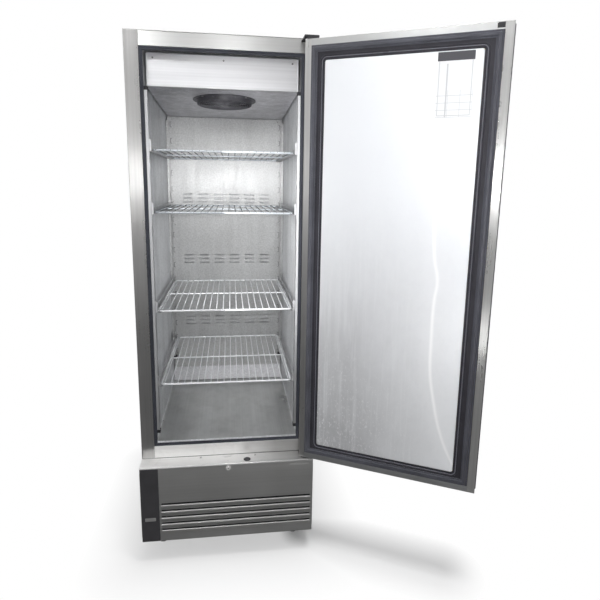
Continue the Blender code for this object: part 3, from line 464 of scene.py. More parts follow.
def tube(points, radius, sides=10, closed=False):
    """A round rod along a line of points."""
    points = [Vector(point) for point in points]
    count = len(points)
    mesh = bmesh.new()
    first = (points[1] - points[0]).normalized()
    up = Vector((0, 0, 1)) if abs(first.z) < 0.9 else Vector((1, 0, 0))
    normal = (up - first * up.dot(first)).normalized()
    rings, last = [], first
    for i, point in enumerate(points):
        if closed:
            way = (points[(i + 1) % count] - points[i - 1]).normalized()
        elif i == 0:
            way = first
        elif i == count - 1:
            way = (point - points[i - 1]).normalized()
        else:
            ahead = (points[i + 1] - point).normalized()
            way = (ahead + (point - points[i - 1]).normalized()).normalized()
        normal = last.rotation_difference(way) @ normal
        normal = (normal - way * normal.dot(way)).normalized()
        last = way
        side = way.cross(normal)
        angles = [2 * math.pi * k / sides for k in range(sides)]
        rings.append([
            mesh.verts.new(point + (normal * math.cos(a) + side * math.sin(a)) * radius)
            for a in angles
        ])
    for ring_a, ring_b in zip(rings, rings[1:]):
        bridge(mesh, ring_a, ring_b)
    if closed:
        # start the seam at the nearest vertex, so that the last band isn't twisted
        start, end = rings[0], rings[-1]
        near = min(range(sides), key=lambda s: (start[s].co - end[0].co).length)
        bridge(mesh, end, start[near:] + start[:near])
    else:
        mesh.faces.new(rings[0])
        mesh.faces.new(rings[-1])
    return recalc(mesh)


def ring_frame(x0, x1, z0, z1, profile, corner=0, steps=6):
    """A picture-frame moulding from a closed profile of (inset from the outer edge, y).

    Corners are mitred, or swept round a corner radius.
    """
    mesh = bmesh.new()
    spots = []  # corner centre, directions inwards, sweep angle
    for x, z, in_x, in_z, start in (
        (x0, z0, 1, 1, 180), (x1, z0, -1, 1, 270), (x1, z1, -1, -1, 0), (x0, z1, 1, -1, 90)
    ):
        if corner <= 0:
            spots.append((x, z, in_x, in_z, None))
            continue
        for k in range(steps + 1):
            angle = math.radians(start + 90.0 * k / steps)
            spots.append((x + in_x * corner, z + in_z * corner, in_x, in_z, angle))
    rings = []
    for x, z, in_x, in_z, angle in spots:
        ring = []
        for inset, y in profile:
            if angle is None:
                at = (x + in_x * inset, y, z + in_z * inset)
            else:
                r = max(0.4, corner - inset)
                extra = max(0.0, inset - corner + 0.4)
                at = (
                    x + r * math.cos(angle) + in_x * extra, y,
                    z + r * math.sin(angle) + in_z * extra,
                )
            ring.append(mesh.verts.new(at))
        rings.append(ring)
    for ring_a, ring_b in zip(rings, rings[1:] + rings[:1]):
        bridge(mesh, ring_a, ring_b)
    return recalc(mesh)


def screw_meshes(spots, axis, sign, radius=4, height=2.2):
    """Domed screw heads and the crosses in them, standing out along sign x axis (Y or Z)."""
    dome = [
        (0, -0.4), (radius, -0.4), (radius, 0.35 * height), (radius * 0.86, 0.72 * height),
        (radius * 0.55, 0.95 * height), (0, height),
    ]
    dome = [(r, sign * h) for r, h in dome]
    long, narrow = radius * 0.55, radius * 0.16
    low, high = height * sign * 0.8, (height + 0.1) * sign
    heads, bars = [], []
    for x, y, z in spots:
        heads.append(lathe(dome, 20, (x, y, z), axis))
        cross = []
        for a, b in ((long, narrow), (narrow, long)):
            if axis == "Y":
                cross.append(block(x - a, x + a, y + low, y + high, z - b, z + b))
            else:
                cross.append(block(x - a, x + a, y - b, y + b, z + low, z + high))
        bars.append(join(cross))
    return join(heads), join(bars)


def screws(name, node, spots, axis="Y", sign=-1, looks=None, **size):
    # by default the crosses are near-black bars: painted shade standing for the recessed slots
    head_look, recess_look = looks or (SCREW, DARK_HOLE)
    heads, recesses = screw_meshes(spots, axis, sign, **size)
    build(name, heads, head_look, node, smooth=50)
    build(name + "_recess", recesses, recess_look, node, smooth=50)


def dress(node, look):
    """Gives a finish to a CAD node that stays."""
    obj = frame["nodes"][node]
    obj.data.materials.clear()
    obj.data.materials.append(look)
    return obj


# ---- finishes ----
AXES = {"x": (1, 0, 0), "y": (0, 1, 0), "z": (0, 0, 1)}


def steel(name, grain, cross, tint, rough, aniso, streak, smudge, dirt=0, dull=0, fade=None):
    """Brushed stainless sheet: the grain runs along one axis, highlights spread along cross.

    fade paints shade along one axis, standing in for how the reflections fall off: (axis number,
    from, to, shade at the far end), in metres.
    """
    mat = Look(name)
    along = "xyz".index(grain)
    fine, band, wide = [900] * 3, [130] * 3, [22] * 3
    fine[along], band[along], wide[along] = 9, 1.2, 0.7
    fine = mat.noise(fine, detail=2)
    band = mat.noise(band, detail=3, rough=0.65)
    wide = mat.noise(wide, detail=2, rough=0.5)
    cloud = mat.noise(3.1, rough=0.55, distort=0.3)
    prints = mat.noise((17, 17, 13), detail=5, rough=0.62, distort=0.9, shift=(3, 1, 2))
    lines = mat.plus(mat.times(band, 0.6), mat.times(wide, 0.4))
    shade = mat.fit(lines, 0.3, 0.7, 1 - streak, 1 + streak)
    shade = mat.times(shade, mat.fit(cloud, 0.3, 0.7, 0.95, 1.04))
    colour = mat.shaded(tint, shade)
    if fade:
        # painted shade: the colour darkens along one axis of the piece
        axis, start, end, far = fade
        colour = mat.shaded(colour, mat.fit(mat.xyz(mat.coord)[axis], start, end, 1, far))
    if dirt:
        colour = mat.mix(mat.fit(prints, 0.56, 0.72, 0, dirt), colour, (0.2, 0.19, 0.17))
    roughness = mat.plus(
        mat.fit(lines, 0.3, 0.7, rough - 0.035, rough + 0.035),
        mat.fit(prints, 0.45, 0.7, 0, smudge),
    )
    roughness = mat.plus(roughness, mat.fit(cloud, 0.35, 0.65, 0, 0.04))
    relief = mat.plus(mat.times(fine, 0.5), band)
    return mat.finish(
        Base_Color=colour, Metallic=1 - dull, Roughness=roughness, Anisotropic=aniso,
        Tangent=mat.across(AXES[cross]),
        Normal=mat.bump(relief, strength=0.1, distance=0.00025),
    )


def zinc(name, tint, rough):
    """Galvanised sheet with its crystal patches."""
    mat = Look(name)
    cell = mat.node("TexVoronoi", out="Color", Scale=1, Randomness=1, Vector=mat.place(75))
    patch = mat.node("SeparateColor", Color=cell)
    cloud = mat.noise(6)
    shade = mat.times(mat.fit(patch, 0, 1, 0.86, 1.1), mat.fit(cloud, 0.3, 0.7, 0.9, 1.05))
    return mat.finish(
        Base_Color=mat.shaded(tint, shade), Metallic=0.85,
        Roughness=mat.fit(patch, 0, 1, rough - 0.07, rough + 0.12),
        Normal=mat.bump(mat.noise(900, detail=2), strength=0.08, distance=0.0002),
    )


def plastic(name, colour, rough, grain, bump, dust, pale, sheen=0, spec=0.5):
    """Plastic or rubber with a fine skin, dust in patches and paler worn edges."""
    mat = Look(name)
    skin = mat.noise(grain, detail=2)
    cloud = mat.noise((9, 9, 7), detail=5, distort=0.4)
    fleck = mat.noise(160, detail=2, shift=(5, 2, 1))
    patches = mat.times(mat.fit(cloud, 0.42, 0.75), dust * 2.5, clamp=True)
    colour = mat.mix(patches, colour, pale)
    colour = mat.mix(mat.fit(fleck, 0.66, 0.74, 0, dust * 1.5), colour, pale)
    colour = mat.mix(mat.times(mat.edges(radius=0.0012), 0.35), colour, pale)
    return mat.finish(
        Base_Color=colour, Roughness=mat.fit(cloud, 0.3, 0.7, rough - 0.05, rough + 0.12),
        Specular_IOR_Level=spec, Sheen_Weight=sheen,
        Normal=mat.bump(skin, strength=bump, distance=0.0002),
    )


def liner_sheet(name, tint, rough, blotch, drip, metal):
    """A fine satin skin with soft clouds and pale water marks that run down."""
    mat = Look(name)
    fine = mat.noise(420, detail=3, rough=0.7)
    cloud = mat.noise((7, 7, 5), detail=5, rough=0.62, distort=0.5)
    run = mat.noise((26, 26, 1.3), distort=0.4)
    grain = mat.noise((160, 160, 12), detail=3, rough=0.65)
    shade = mat.times(
        mat.fit(cloud, 0.3, 0.7, 1 - blotch, 1 + blotch * 0.6),
        mat.fit(run, 0.35, 0.7, 1 - drip, 1 + drip),
    )
    shade = mat.times(shade, mat.fit(fine, 0.3, 0.7, 0.95, 1.05))
    speck = mat.noise((150, 150, 130), detail=2, rough=0.7, distort=0.4)
    shade = mat.times(shade, mat.fit(speck, 0.32, 0.68, 0.86, 1.15))
    colour = mat.shaded(tint, shade)
    roughness = mat.plus(
        mat.fit(cloud, 0.3, 0.7, rough - 0.03, rough + 0.06), mat.fit(run, 0.4, 0.7, 0, 0.04)
    )
    relief = mat.plus(mat.times(fine, 0.6), mat.plus(grain, mat.times(cloud, 4)))
    return mat.finish(
        Base_Color=colour, Metallic=metal, Roughness=roughness, Anisotropic=0.75,
        Tangent=mat.across((0.7071, 0.7071, 0)),
        Normal=mat.bump(relief, strength=0.12, distance=0.0005),
    )


def liner_floor():
    """Liner floor: brushed front to back, with water marks."""
    mat = Look("liner_floor")
    band = mat.noise((150, 1.4, 150), detail=3, rough=0.65)
    wide = mat.noise((24, 0.8, 24), detail=2, rough=0.5)
    cloud = mat.noise((5, 4, 5), rough=0.55)
    mark = mat.noise((16, 11, 16), shift=(2, 1, 0))
    lines = mat.plus(mat.times(band, 0.6), mat.times(wide, 0.4))
    shade = mat.times(
        mat.fit(lines, 0.3, 0.7, 0.92, 1.08), mat.fit(cloud, 0.3, 0.7, 0.88, 1.05)
    )
    shade = mat.times(shade, mat.fit(mark, 0.45, 0.75, 1, 0.82))
    return mat.finish(
        Base_Color=mat.shaded((0.56, 0.565, 0.56), shade), Metallic=0.82,
        Roughness=mat.fit(cloud, 0.3, 0.7, 0.27, 0.35), Anisotropic=0.6,
        Tangent=mat.across(AXES["x"]), Normal=mat.bump(band, strength=0.12, distance=0.0003),
    )


def rigid_foam():
    mat = Look("rigid_foam")
    cell = mat.noise(520, detail=3, rough=0.7)
    cloud = mat.noise(12)
    colour = mat.mix(cloud, (0.62, 0.5, 0.27), (0.8, 0.7, 0.44))
    colour = mat.mix(mat.fit(cell, 0.55, 0.75, 0, 0.5), colour, (0.45, 0.35, 0.18))
    relief = mat.bump(cell, strength=0.5, distance=0.0008)
    return mat.finish(Base_Color=colour, Roughness=0.85, Normal=relief)


def copper_tube():
    mat = Look("copper_tube")
    cloud = mat.noise((60, 60, 40))
    colour = mat.mix(mat.fit(cloud, 0.35, 0.7), (0.7, 0.36, 0.22), (0.34, 0.2, 0.14))
    return mat.finish(
        Base_Color=colour, Metallic=1, Roughness=mat.fit(cloud, 0.3, 0.7, 0.22, 0.45),
        Normal=mat.bump(cloud, strength=0.08, distance=0.0003),
    )


def coil_fins():
    mat = Look("coil_fins")
    dust = mat.noise(30, detail=5, rough=0.65, distort=0.5)
    fine = mat.noise((1200, 40, 40), detail=2, rough=0.5)
    amount = mat.fit(dust, 0.45, 0.75, 0, 0.7)
    colour = mat.mix(amount, (0.62, 0.63, 0.64), (0.3, 0.28, 0.25))
    return mat.finish(
        Base_Color=colour, Metallic=0.9, Roughness=mat.fit(dust, 0.3, 0.7, 0.34, 0.6),
        Normal=mat.bump(fine, strength=0.12, distance=0.0003),
    )


def plated_wire(name, bright, dim, metal):
    """Plated wire: bright, with duller and slightly blue patches."""
    mat = Look(name)
    cloud = mat.noise(22, distort=0.4)
    fine = mat.noise(900, detail=2)
    return mat.finish(
        Base_Color=mat.mix(mat.fit(cloud, 0.35, 0.7), bright, dim), Metallic=metal,
        Roughness=mat.fit(cloud, 0.3, 0.7, 0.28, 0.4),
        Normal=mat.bump(fine, strength=0.08, distance=0.0002),
    )


# The path of the painted highlight along the door panel's crease: height up the sheet, place
# across it from the free edge, both as shares of the sheet.
CREASE = [
    (0, -0.04), (0.032, 0.02), (0.105, 0.107), (0.184, 0.161), (0.256, 0.194), (0.33, 0.2),
    (0.44, 0.197), (0.472, 0.186), (0.492, 0.187), (0.533, 0.211), (0.6, 0.225), (1, 0.21),
]


def door_panel_look(box):
    """Pale sheet: cloudy sheen, roll marks, one soft crease with a painted highlight line, painted
    shade with some chalky wear low down and towards the hinge, and specks low down.
    """
    mat = Look("pale_door_panel")
    x, _, z = mat.xyz(mat.coord)
    up = mat.fit(z, box.z0 * MM + FLOOR, box.z1 * MM + FLOOR)
    side = mat.fit(x, box.x0 * MM, box.x1 * MM)  # 0 at the free edge, 1 at the hinge
    cloud = mat.noise((5, 5, 3.2), detail=5, distort=0.7)
    mottle = mat.noise((38, 38, 30), detail=5, rough=0.68, distort=0.5)
    fine = mat.noise(330, detail=3, rough=0.7)
    run = mat.noise((70, 70, 3), rough=0.62, distort=0.3)
    # painted shade with some wear: the sheet darkens downwards and towards the hinge
    painted_shade_and_wear = mat.times(mat.fit(up, 0.82, 0.05), mat.fit(side, 0.05, 0.75, 0.12, 1))
    painted_shade_and_wear = mat.times(painted_shade_and_wear, mat.fit(cloud, 0.3, 0.65, 0.75, 1))
    colour = mat.mix(painted_shade_and_wear, (0.84, 0.855, 0.875), (0.36, 0.362, 0.372))
    amount = mat.times(mat.fit(mottle, 0.42, 0.7), mat.fit(painted_shade_and_wear, 0, 1, 0.05, 0.28))
    colour = mat.mix(amount, colour, (0.52, 0.53, 0.55))
    amount = mat.times(mat.fit(run, 0.5, 0.72), mat.times(painted_shade_and_wear, 0.4))
    colour = mat.mix(amount, colour, (0.86, 0.87, 0.88))
    spot = mat.noise((170, 170, 95), rough=0.7, distort=0.3)
    zone = mat.times(mat.fit(up, 0.34, 0.03), mat.fit(side, 0.25, 0.85, 0.15, 1))
    zone = mat.times(zone, mat.fit(cloud, 0.35, 0.6, 0.4, 1))
    speck = mat.times(mat.fit(spot, 0.56, 0.66), zone, clamp=True)
    colour = mat.mix(mat.times(speck, 0.8), colour, (0.88, 0.88, 0.89))
    colour = mat.mix(mat.fit(up, 0.4, 0.78, 0, 0.85), colour, (0.69, 0.705, 0.73))
    # the crease wanders down the sheet and turns towards the free lower corner; along it a painted
    # highlight is drawn, a pale line in a soft glow
    bend = mat.node("FloatCurve", Value=up)
    mapping = bend.node.mapping
    curve = mapping.curves[0]
    for i, point in enumerate(CREASE):
        if i < 2:
            curve.points[i].location = point
        else:
            curve.points.new(*point)
    mapping.update()
    off = mat.math("ABSOLUTE", mat.minus(side, bend))
    line = mat.times(mat.fit(off, 0, 0.016, 1, 0), mat.fit(up, 0.88, 0.4), clamp=True)
    glow = mat.times(mat.fit(off, 0, 0.1, 1, 0), mat.fit(up, 0.95, 0.35), clamp=True)
    colour = mat.mix(mat.times(glow, 0.22), colour, (0.9, 0.905, 0.92))
    colour = mat.mix(mat.times(line, 0.85), colour, (0.97, 0.97, 0.98))
    roughness = mat.plus(mat.fit(cloud, 0.3, 0.7, 0.36, 0.46), mat.times(painted_shade_and_wear, 0.1))
    relief = mat.plus(mat.times(mottle, 0.8), mat.times(speck, 1))
    relief = mat.plus(mat.times(fine, 0.5), relief)
    return mat.finish(
        Base_Color=colour, Metallic=0.3, Specular_IOR_Level=0.6, Roughness=roughness,
        Normal=mat.bump(relief, strength=0.14, distance=0.0008),
    )


def data_plate_look(x0, x1, z0, z1, header_height):
    """A blank data plate: white film with a dark header and a ruled grid, no lettering."""
    mat = Look("blank_plate")
    x, _, z = mat.xyz(mat.coord)
    u = mat.fit(x, x0 * MM, x1 * MM)
    v = mat.fit(z, z0 * MM + FLOOR, z1 * MM + FLOOR)
    header = mat.math("GREATER_THAN", v, 1 - header_height / (z1 - z0))
    rows = mat.math("LESS_THAN", mat.math("FRACT", mat.times(v, 9)), 0.07)
    columns = mat.math("LESS_THAN", mat.math("FRACT", mat.times(u, 3)), 0.03)
    rule = mat.times(mat.math("MAXIMUM", rows, columns), mat.math("LESS_THAN", v, 0.42))
    side = mat.math("MINIMUM", u, mat.minus(1, u))
    end = mat.times(mat.math("MINIMUM", v, mat.minus(1, v)), (z1 - z0) / (x1 - x0))
    edge = mat.math("MINIMUM", side, end)
    border = mat.times(
        mat.math("GREATER_THAN", edge, 0.045), mat.math("LESS_THAN", edge, 0.065)
    )
    stripe = mat.math("LESS_THAN", mat.math("ABSOLUTE", mat.minus(u, 0.72)), 0.02)
    stripe = mat.times(stripe, mat.math("LESS_THAN", v, 0.82))
    rule = mat.math("MAXIMUM", rule, mat.math("MAXIMUM", border, stripe))
    fade = mat.noise(40)
    white = mat.mix(mat.fit(fade, 0.35, 0.7, 0, 0.25), (0.66, 0.67, 0.68), (0.58, 0.59, 0.6))
    colour = mat.mix(mat.times(rule, 0.55), white, (0.25, 0.26, 0.28))
    colour = mat.mix(header, colour, (0.045, 0.045, 0.052))
    return mat.finish(
        Base_Color=colour, Roughness=mat.fit(fade, 0.3, 0.7, 0.3, 0.48),
        Normal=mat.bump(fade, strength=0.05, distance=0.0003),
    )


def make_all(maker, rows):
    return [maker(*row[:-1], **row[-1]) if isinstance(row[-1], dict) else maker(*row)
            for row in rows]


(
    STILE, SKIN, RAIL, LOW_RAIL, TOP_SKIN, LEDGE, PANEL, LIP, DOOR_SKIN, DOOR_RIM, FREE_RIM,
    COVER, POST_FACE, RIM_FLAT, RIM_TOP, LOCK_METAL, PRESSED, SCREW,
) = make_all(steel, [
    # name, grain, cross, tint, roughness, anisotropy, streak, smudge, options
    ("steel_stile", "z", "x", (0.6, 0.595, 0.585), 0.27, 0.8, 0.13, 0.06),
    ("steel_side", "z", "y", (0.58, 0.58, 0.57), 0.3, 0.75, 0.1, 0.08),
    ("steel_rail", "x", "z", (0.66, 0.66, 0.65), 0.32, 0.84, 0.07, 0.06),
    # the low rail is a paler, duller copy of the steel: painted light in place of its bright
    # reflection; its fade is painted shade, darker towards the right
    ("steel_low_rail", "x", "z", (0.93, 0.925, 0.91), 0.3, 0.66, 0.08, 0.08,
     dict(dirt=0.1, dull=0.34, fade=(0, 0.03, 0.2, 0.5))),
    ("steel_top", "x", "y", (0.58, 0.58, 0.57), 0.34, 0.6, 0.1, 0.12, dict(dirt=0.25)),
    # the ledge likewise: a paler, duller copy of the steel, painted light, with painted shade
    # darker towards the right
    ("steel_ledge", "x", "y", (0.84, 0.835, 0.825), 0.32, 0.72, 0.12, 0.1,
     dict(dirt=0.25, dull=0.3, fade=(0, 0.03, 0.3, 0.55))),
    ("steel_panel", "x", "z", (0.5, 0.5, 0.49), 0.33, 0.72, 0.06, 0.02),
    ("steel_lip", "x", "z", (0.6, 0.595, 0.59), 0.44, 0.3, 0.04, 0.05),
    ("steel_door", "z", "x", (0.6, 0.595, 0.585), 0.28, 0.8, 0.13, 0.08),
    # the door's rim pieces here (rim, free rim, rim flat, rim top) are copies of one steel with
    # tints set apart: painted light and shade; the rim's fade is painted shade, darker downwards
    ("steel_rim", "z", "x", (0.82, 0.82, 0.81), 0.25, 0.66, 0.08, 0.06,
     dict(fade=(2, 1.72 + FLOOR, 1.35 + FLOOR, 0.74))),
    ("steel_free_rim", "z", "x", (0.56, 0.56, 0.55), 0.26, 0.72, 0.11, 0.08, dict(dull=0.14)),
    ("steel_cover", "x", "z", (0.69, 0.69, 0.705), 0.34, 0.5, 0.1, 0.08, dict(dull=0.16)),
    # the post faces' fade is painted shade, darker downwards
    ("steel_post_face", "z", "x", (0.78, 0.785, 0.8), 0.36, 0.4, 0.1, 0.06,
     dict(dull=0.5, fade=(2, 1.2 + FLOOR, 0.6 + FLOOR, 0.5))),
    ("steel_rim_flat", "x", "z", (0.47, 0.475, 0.48), 0.3, 0.7, 0.08, 0.06),
    ("steel_rim_top", "x", "z", (0.58, 0.585, 0.58), 0.34, 0.6, 0.06, 0.06, dict(dull=0.25)),
    ("steel_lock", "x", "z", (0.9, 0.89, 0.88), 0.22, 0, 0.03, 0.04, dict(dull=0.35)),
    ("steel_runner", "y", "z", (0.68, 0.68, 0.69), 0.3, 0.4, 0.06, 0.1, dict(dirt=0.12)),
    ("steel_screw", "x", "z", (0.66, 0.65, 0.64), 0.28, 0, 0.05, 0.1),
])
WALL, UNDERSIDE, FOOT, DUCT = make_all(liner_sheet, [
    # name, tint, roughness, blotches, drip marks, metal
    ("liner_wall", (0.79, 0.8, 0.815), 0.33, 0.16, 0.1, 0.45),
    ("cover_underside", (0.6, 0.595, 0.625), 0.3, 0.26, 0.2, 0.5),
    # the duct foot is a paler, more matt copy of the duct sheet: painted light where it faces up
    ("duct_foot", (0.66, 0.66, 0.68), 0.4, 0.1, 0.06, 0.35),
    ("duct_sheet", (0.57, 0.575, 0.575), 0.31, 0.08, 0.05, 0.64),
])
FLOOR_SHEET = liner_floor()
(
    SLATE, BEAD, FRAME_PLASTIC, GASKET, BLACK, DARK_HOLE, STRIP, GREY, RUBBER, GRIP, PAINT,
    GUARD, BLADE,
) = make_all(plastic, [
    # name, colour, roughness, grain scale, grain relief, dust, pale colour, options
    ("slate_plastic", (0.026, 0.028, 0.036), 0.42, 1200, 0.1, 0.08, (0.13, 0.14, 0.17),
     dict(spec=0.28)),
    # the bead is a lighter copy of the frame plastic: a painted highlight along its ridge
    ("door_frame_bead", (0.13, 0.13, 0.155), 0.3, 1200, 0.06, 0.08, (0.22, 0.22, 0.25)),
    ("door_frame_plastic", (0.022, 0.021, 0.026), 0.42, 1200, 0.1, 0.06, (0.1, 0.1, 0.12),
     dict(spec=0.28)),
    ("gasket_rubber", (0.042, 0.043, 0.054), 0.38, 900, 0.12, 0.1, (0.16, 0.165, 0.2),
     dict(sheen=0.15)),
    ("black_plastic", (0.018, 0.018, 0.02), 0.42, 1300, 0.14, 0.06, (0.1, 0.1, 0.105)),
    # recess_dark also serves as painted shade where it stands for recesses: the screw crosses, the
    # key slot and the hook slots
    ("recess_dark", (0.01, 0.01, 0.011), 0.7, 800, 0.1, 0.03, (0.03, 0.03, 0.03)),
    ("trim_strip_plastic", (0.034, 0.033, 0.036), 0.34, 1500, 0.07, 0.05, (0.12, 0.12, 0.13)),
    ("grey_plastic", (0.24, 0.25, 0.27), 0.46, 1100, 0.12, 0.08, (0.42, 0.43, 0.45)),
    ("wheel_rubber", (0.06, 0.062, 0.066), 0.62, 500, 0.3, 0.3, (0.26, 0.25, 0.23)),
    ("grip_profile_plastic", (0.04, 0.042, 0.048), 0.36, 1300, 0.1, 0.06, (0.14, 0.14, 0.16)),
    ("compressor_paint", (0.016, 0.016, 0.018), 0.26, 260, 0.1, 0.16, (0.12, 0.11, 0.1)),
    ("fan_guard_coat", (0.036, 0.035, 0.041), 0.36, 900, 0.1, 0.2, (0.26, 0.26, 0.28)),
    ("fan_blade_plastic", (0.085, 0.088, 0.095), 0.4, 900, 0.1, 0.14, (0.25, 0.25, 0.25)),
])
ZINC = zinc("galvanised_sheet", tint=(0.55, 0.57, 0.58), rough=0.42)
ZINC_DARK = zinc("galvanised_base", tint=(0.4, 0.415, 0.42), rough=0.48)
FOAM = rigid_foam()
COPPER = copper_tube()
FINS = coil_fins()
WIRE, WIRE_PAINTED_SHADE, WIRE_PAINTED_HALF_SHADE, BAR_PAINTED_SHADE = make_all(plated_wire, [
    # name, bright colour, dim colour, metal
    ("plated_wire", (0.88, 0.89, 0.9), (0.72, 0.74, 0.76), 0.3),
    # the next three rows are darker copies of the plated wire and bar for the two upper shelves:
    # painted shade
    ("plated_wire_dull", (0.1, 0.115, 0.13), (0.055, 0.065, 0.075), 0.35),
    ("plated_wire_mid", (0.22, 0.235, 0.25), (0.11, 0.12, 0.135), 0.45),
    ("plated_bar", (0.78, 0.82, 0.86), (0.56, 0.6, 0.64), 0.5),
])
panel_box = cad_box("door_inner_panel")
DOOR_PANEL = door_panel_look(panel_box)

# ---- outer shell ----
shell = cad_box("cabinet_shell")
ledge = cad_box("compartment_ledge")
louvre = cad_box("louvre_panel")
breaker = cad_box("breaker_frame")
stile_foot = ledge.z1 + 0.4  # the stiles stand on the ledge
hole_x, hole_low, hole_high = breaker.x1 + 0.3, breaker.z0 - 0.3, breaker.z1 + 0.3

# Each side is one folded sheet: skin, bend, front stile and a return into the opening.
for word, side in SIDES:
    outer_x, stile_x = side * shell.x1, side * hole_x
    sheet = fold(
        [(outer_x, 758), (outer_x, 0), (stile_x, 0), (stile_x, 20)], [0, 2.6, 1.6, 0], 6,
        SHEET, "Z", stile_foot, shell.z1 - 0.2, side=-side,
    )
    make = replace if side < 0 else build
    make(f"side_and_stile_{word}", sheet, STILE, "cabinet_shell", smooth=32)
    # the skin's lower part steps forward beside the unit compartment
    cheek = [
        (shell.y1, shell.z0), (shell.y1, stile_foot), (0.6, stile_foot),
        (0.6, ledge.z0 - 0.6), (shell.y0, ledge.z0 - 0.6), (shell.y0, 127), (-50, 127),
        (-50, shell.z0),
    ]
    inner_x = side * (shell.x1 - SHEET)
    sheet = prism(cheek, "X", outer_x, inner_x, 0.25, 1)
    build(f"lower_side_{word}", sheet, SKIN, "cabinet_shell")
    # rear return that the back skin is screwed to
    sheet = block(
        inner_x, side * (shell.x1 - 22), 758.9, shell.y1, shell.z0 + 25, shell.z1 - 6, 0.25, 1
    )
    build(f"rear_return_{word}", sheet, SKIN, "cabinet_shell")

# Rails between the stiles, each bent back into the opening.
rail_x = hole_x - 0.35
rail = fold(
    [(0.25, shell.z1 - 3.2), (0.25, hole_high), (20, hole_high)], [0, 1.8, 0], 5,
    SHEET, "X", -rail_x, rail_x,
)
build("top_rail", rail, RAIL, "cabinet_shell")
rail_foot = stile_foot + 0.2
rail = fold(
    [(14, rail_foot), (0.25, rail_foot), (0.25, hole_low), (16, hole_low)],
    [0, 1.5, 2.6, 0], 6, SHEET, "X", -rail_x, rail_x, side=-1,
)
build("bottom_rail", rail, LOW_RAIL, "cabinet_shell")
roof = block(shell.x0 + 2, shell.x1 - 2, 2, 752, 437.3, 438.3, 0.2, 1)
build("compartment_roof", roof, ZINC, "cabinet_shell")
# The top sheet lies between the side skins.
outline = box_loop(shell.x0 + 1.3, shell.x1 - 1.3, 1.6, shell.y1 - 0.5, 2, 4)
sheet = plate(outline, "Z", shell.z1 - 1.7, shell.z1, 0.5)
build("top_sheet", sheet, TOP_SKIN, "cabinet_shell")

x0, x1, _, _, z0, z1 = cad_box("rear_panel")
sheet = plate(box_loop(x0, x1, z0, z1, 2, 3), "Y", 757.6, 758.8, 0.2)
replace("back_skin", sheet, ZINC, "rear_panel")
spots = [(x, 758.8, z) for x in (-338, 338) for z in (470, 790, 1110, 1430, 1750, 2050)]
spots += [(x, 758.8, z) for x in (-170, 0, 170) for z in (446, 2070)]
screws("back_screws", "rear_panel", spots, sign=1)
# Stiffening swages pressed into the back skin: (y, height from the swage's middle).
SWAGE = [(757.9, -24), (758.7, -16), (761.4, -8), (761.4, 8), (758.7, 16), (757.9, 24)]
swages = [
    prism(thick(fillet([(y, z + dz) for y, dz in SWAGE], 6, 3), 0.5, -1), "X", -290, 290, 0.2, 1)
    for z in (760, 1190, 1620)
]
build("back_swages", join(swages), ZINC, "rear_panel")

# Rear vent grille of the unit compartment, its slots pressed as small louvres.
x0, x1, y0, y1, z0, z1 = cad_box("unit_rear_grille")
holes, hoods = [], []
for row in range(6):
    for column in range(2):
        x, z = -300 + 320 * column, 190 + 36 * row
        holes.append(slot_loop(x, x + 280, z, z + 10))
        hood = [(758.4, z + 12.5), (760.6, z + 10.5), (763, z + 1)]
        hoods.append(fold(hood, 2, 3, 0.8, "X", x + 3, x + 277, edge=0.2))
CORD_X, CORD_Z = -319, 157
holes.append(round_loop(CORD_X, CORD_Z, 11, 20))
sheet = plate(box_loop(x0, x1, z0, z1, 3, 3), "Y", y0, y1, 0.2, holes)
replace("rear_grille", sheet, ZINC, "unit_rear_grille")
build("rear_grille_hoods", join(hoods), ZINC, "unit_rear_grille")
grommet = [
    [(5, 0), (14, 0), (14.6, 0.8), (14, 1.8), (8, 2.4), (5.2, 2.4)],
    [(5, -4), (9.8, -4), (9.8, 0.4), (5, 0.4)],
]
grommet = join(lathe(ring, 24, (CORD_X, 758.9, CORD_Z), "Y") for ring in grommet)
build("cord_grommet", grommet, BLACK, "power_cord")
spots = [(x, 758.8, z) for x in (-338, 0, 338) for z in (140, 428)]
screws("grille_screws", "unit_rear_grille", spots, sign=1)

dress("cabinet_insulation", FOAM)

# ---- ledge under the door ----
x0, x1, y0, y1, z0, z1 = ledge
nose_low = z1 - 6.2
seal = block(-348, 348, -0.9, 0.9, z1 - 0.2, z1 + 0.9, 0.2, 1)
build("ledge_joint_seal", seal, DARK_HOLE, "compartment_ledge")
# the nose is one bent sheet; the flat top has two holes, drawn as a plate behind the bend
PLUG_AT = (78, -46.8)
nose = fold([(y0 + 7, z1), (y0, z1), (y0, nose_low)], [0, 2.6, 0], 7, SHEET, "X", x0, x1)
flat = plate(
    box_loop(x0, x1, y0 + 6.9, y1, 0.5, 2), "Z", z1 - SHEET, z1, 0.05,
    [round_loop(*PLUG_AT, 9, 24), round_loop(0, -46.7, 2.4, 14)],
)
replace("ledge_sheet", merge(nose, flat), LEDGE, "compartment_ledge", smooth=30)
outline = box_loop(-272, 338, 414, z1 - SHEET - 0.2)
hole = box_loop(-9.5, 18.5, 414.6, 426.8, 1, 2)
flange = plate(outline, "Y", -68.4, -67.2, 0.15, [hole])
build("ledge_inner_flange", flange, ZINC, "compartment_ledge")
spots = [(-111, -16, z1), (112, -18, z1)]
screws("ledge_screws", "compartment_ledge", spots, "Z", 1, radius=4.6, height=2.8)
plug_low = cad_box("ledge_plug").z0
plug = [
    (0, plug_low), (7.4, plug_low), (8.2, plug_low + 2), (8, z1 + 0.2), (14.3, z1 + 0.2),
    (14.5, z1 + 0.9), (13.6, z1 + 1.9), (11.5, z1 + 2.9), (10.2, z1 + 3.3), (9.6, z1 + 2.9),
    (4, z1 + 2.9), (0, z1 + 3),
]
replace("ledge_blank_plug", lathe(plug, 40, (*PLUG_AT, 0)), BLACK, "ledge_plug")

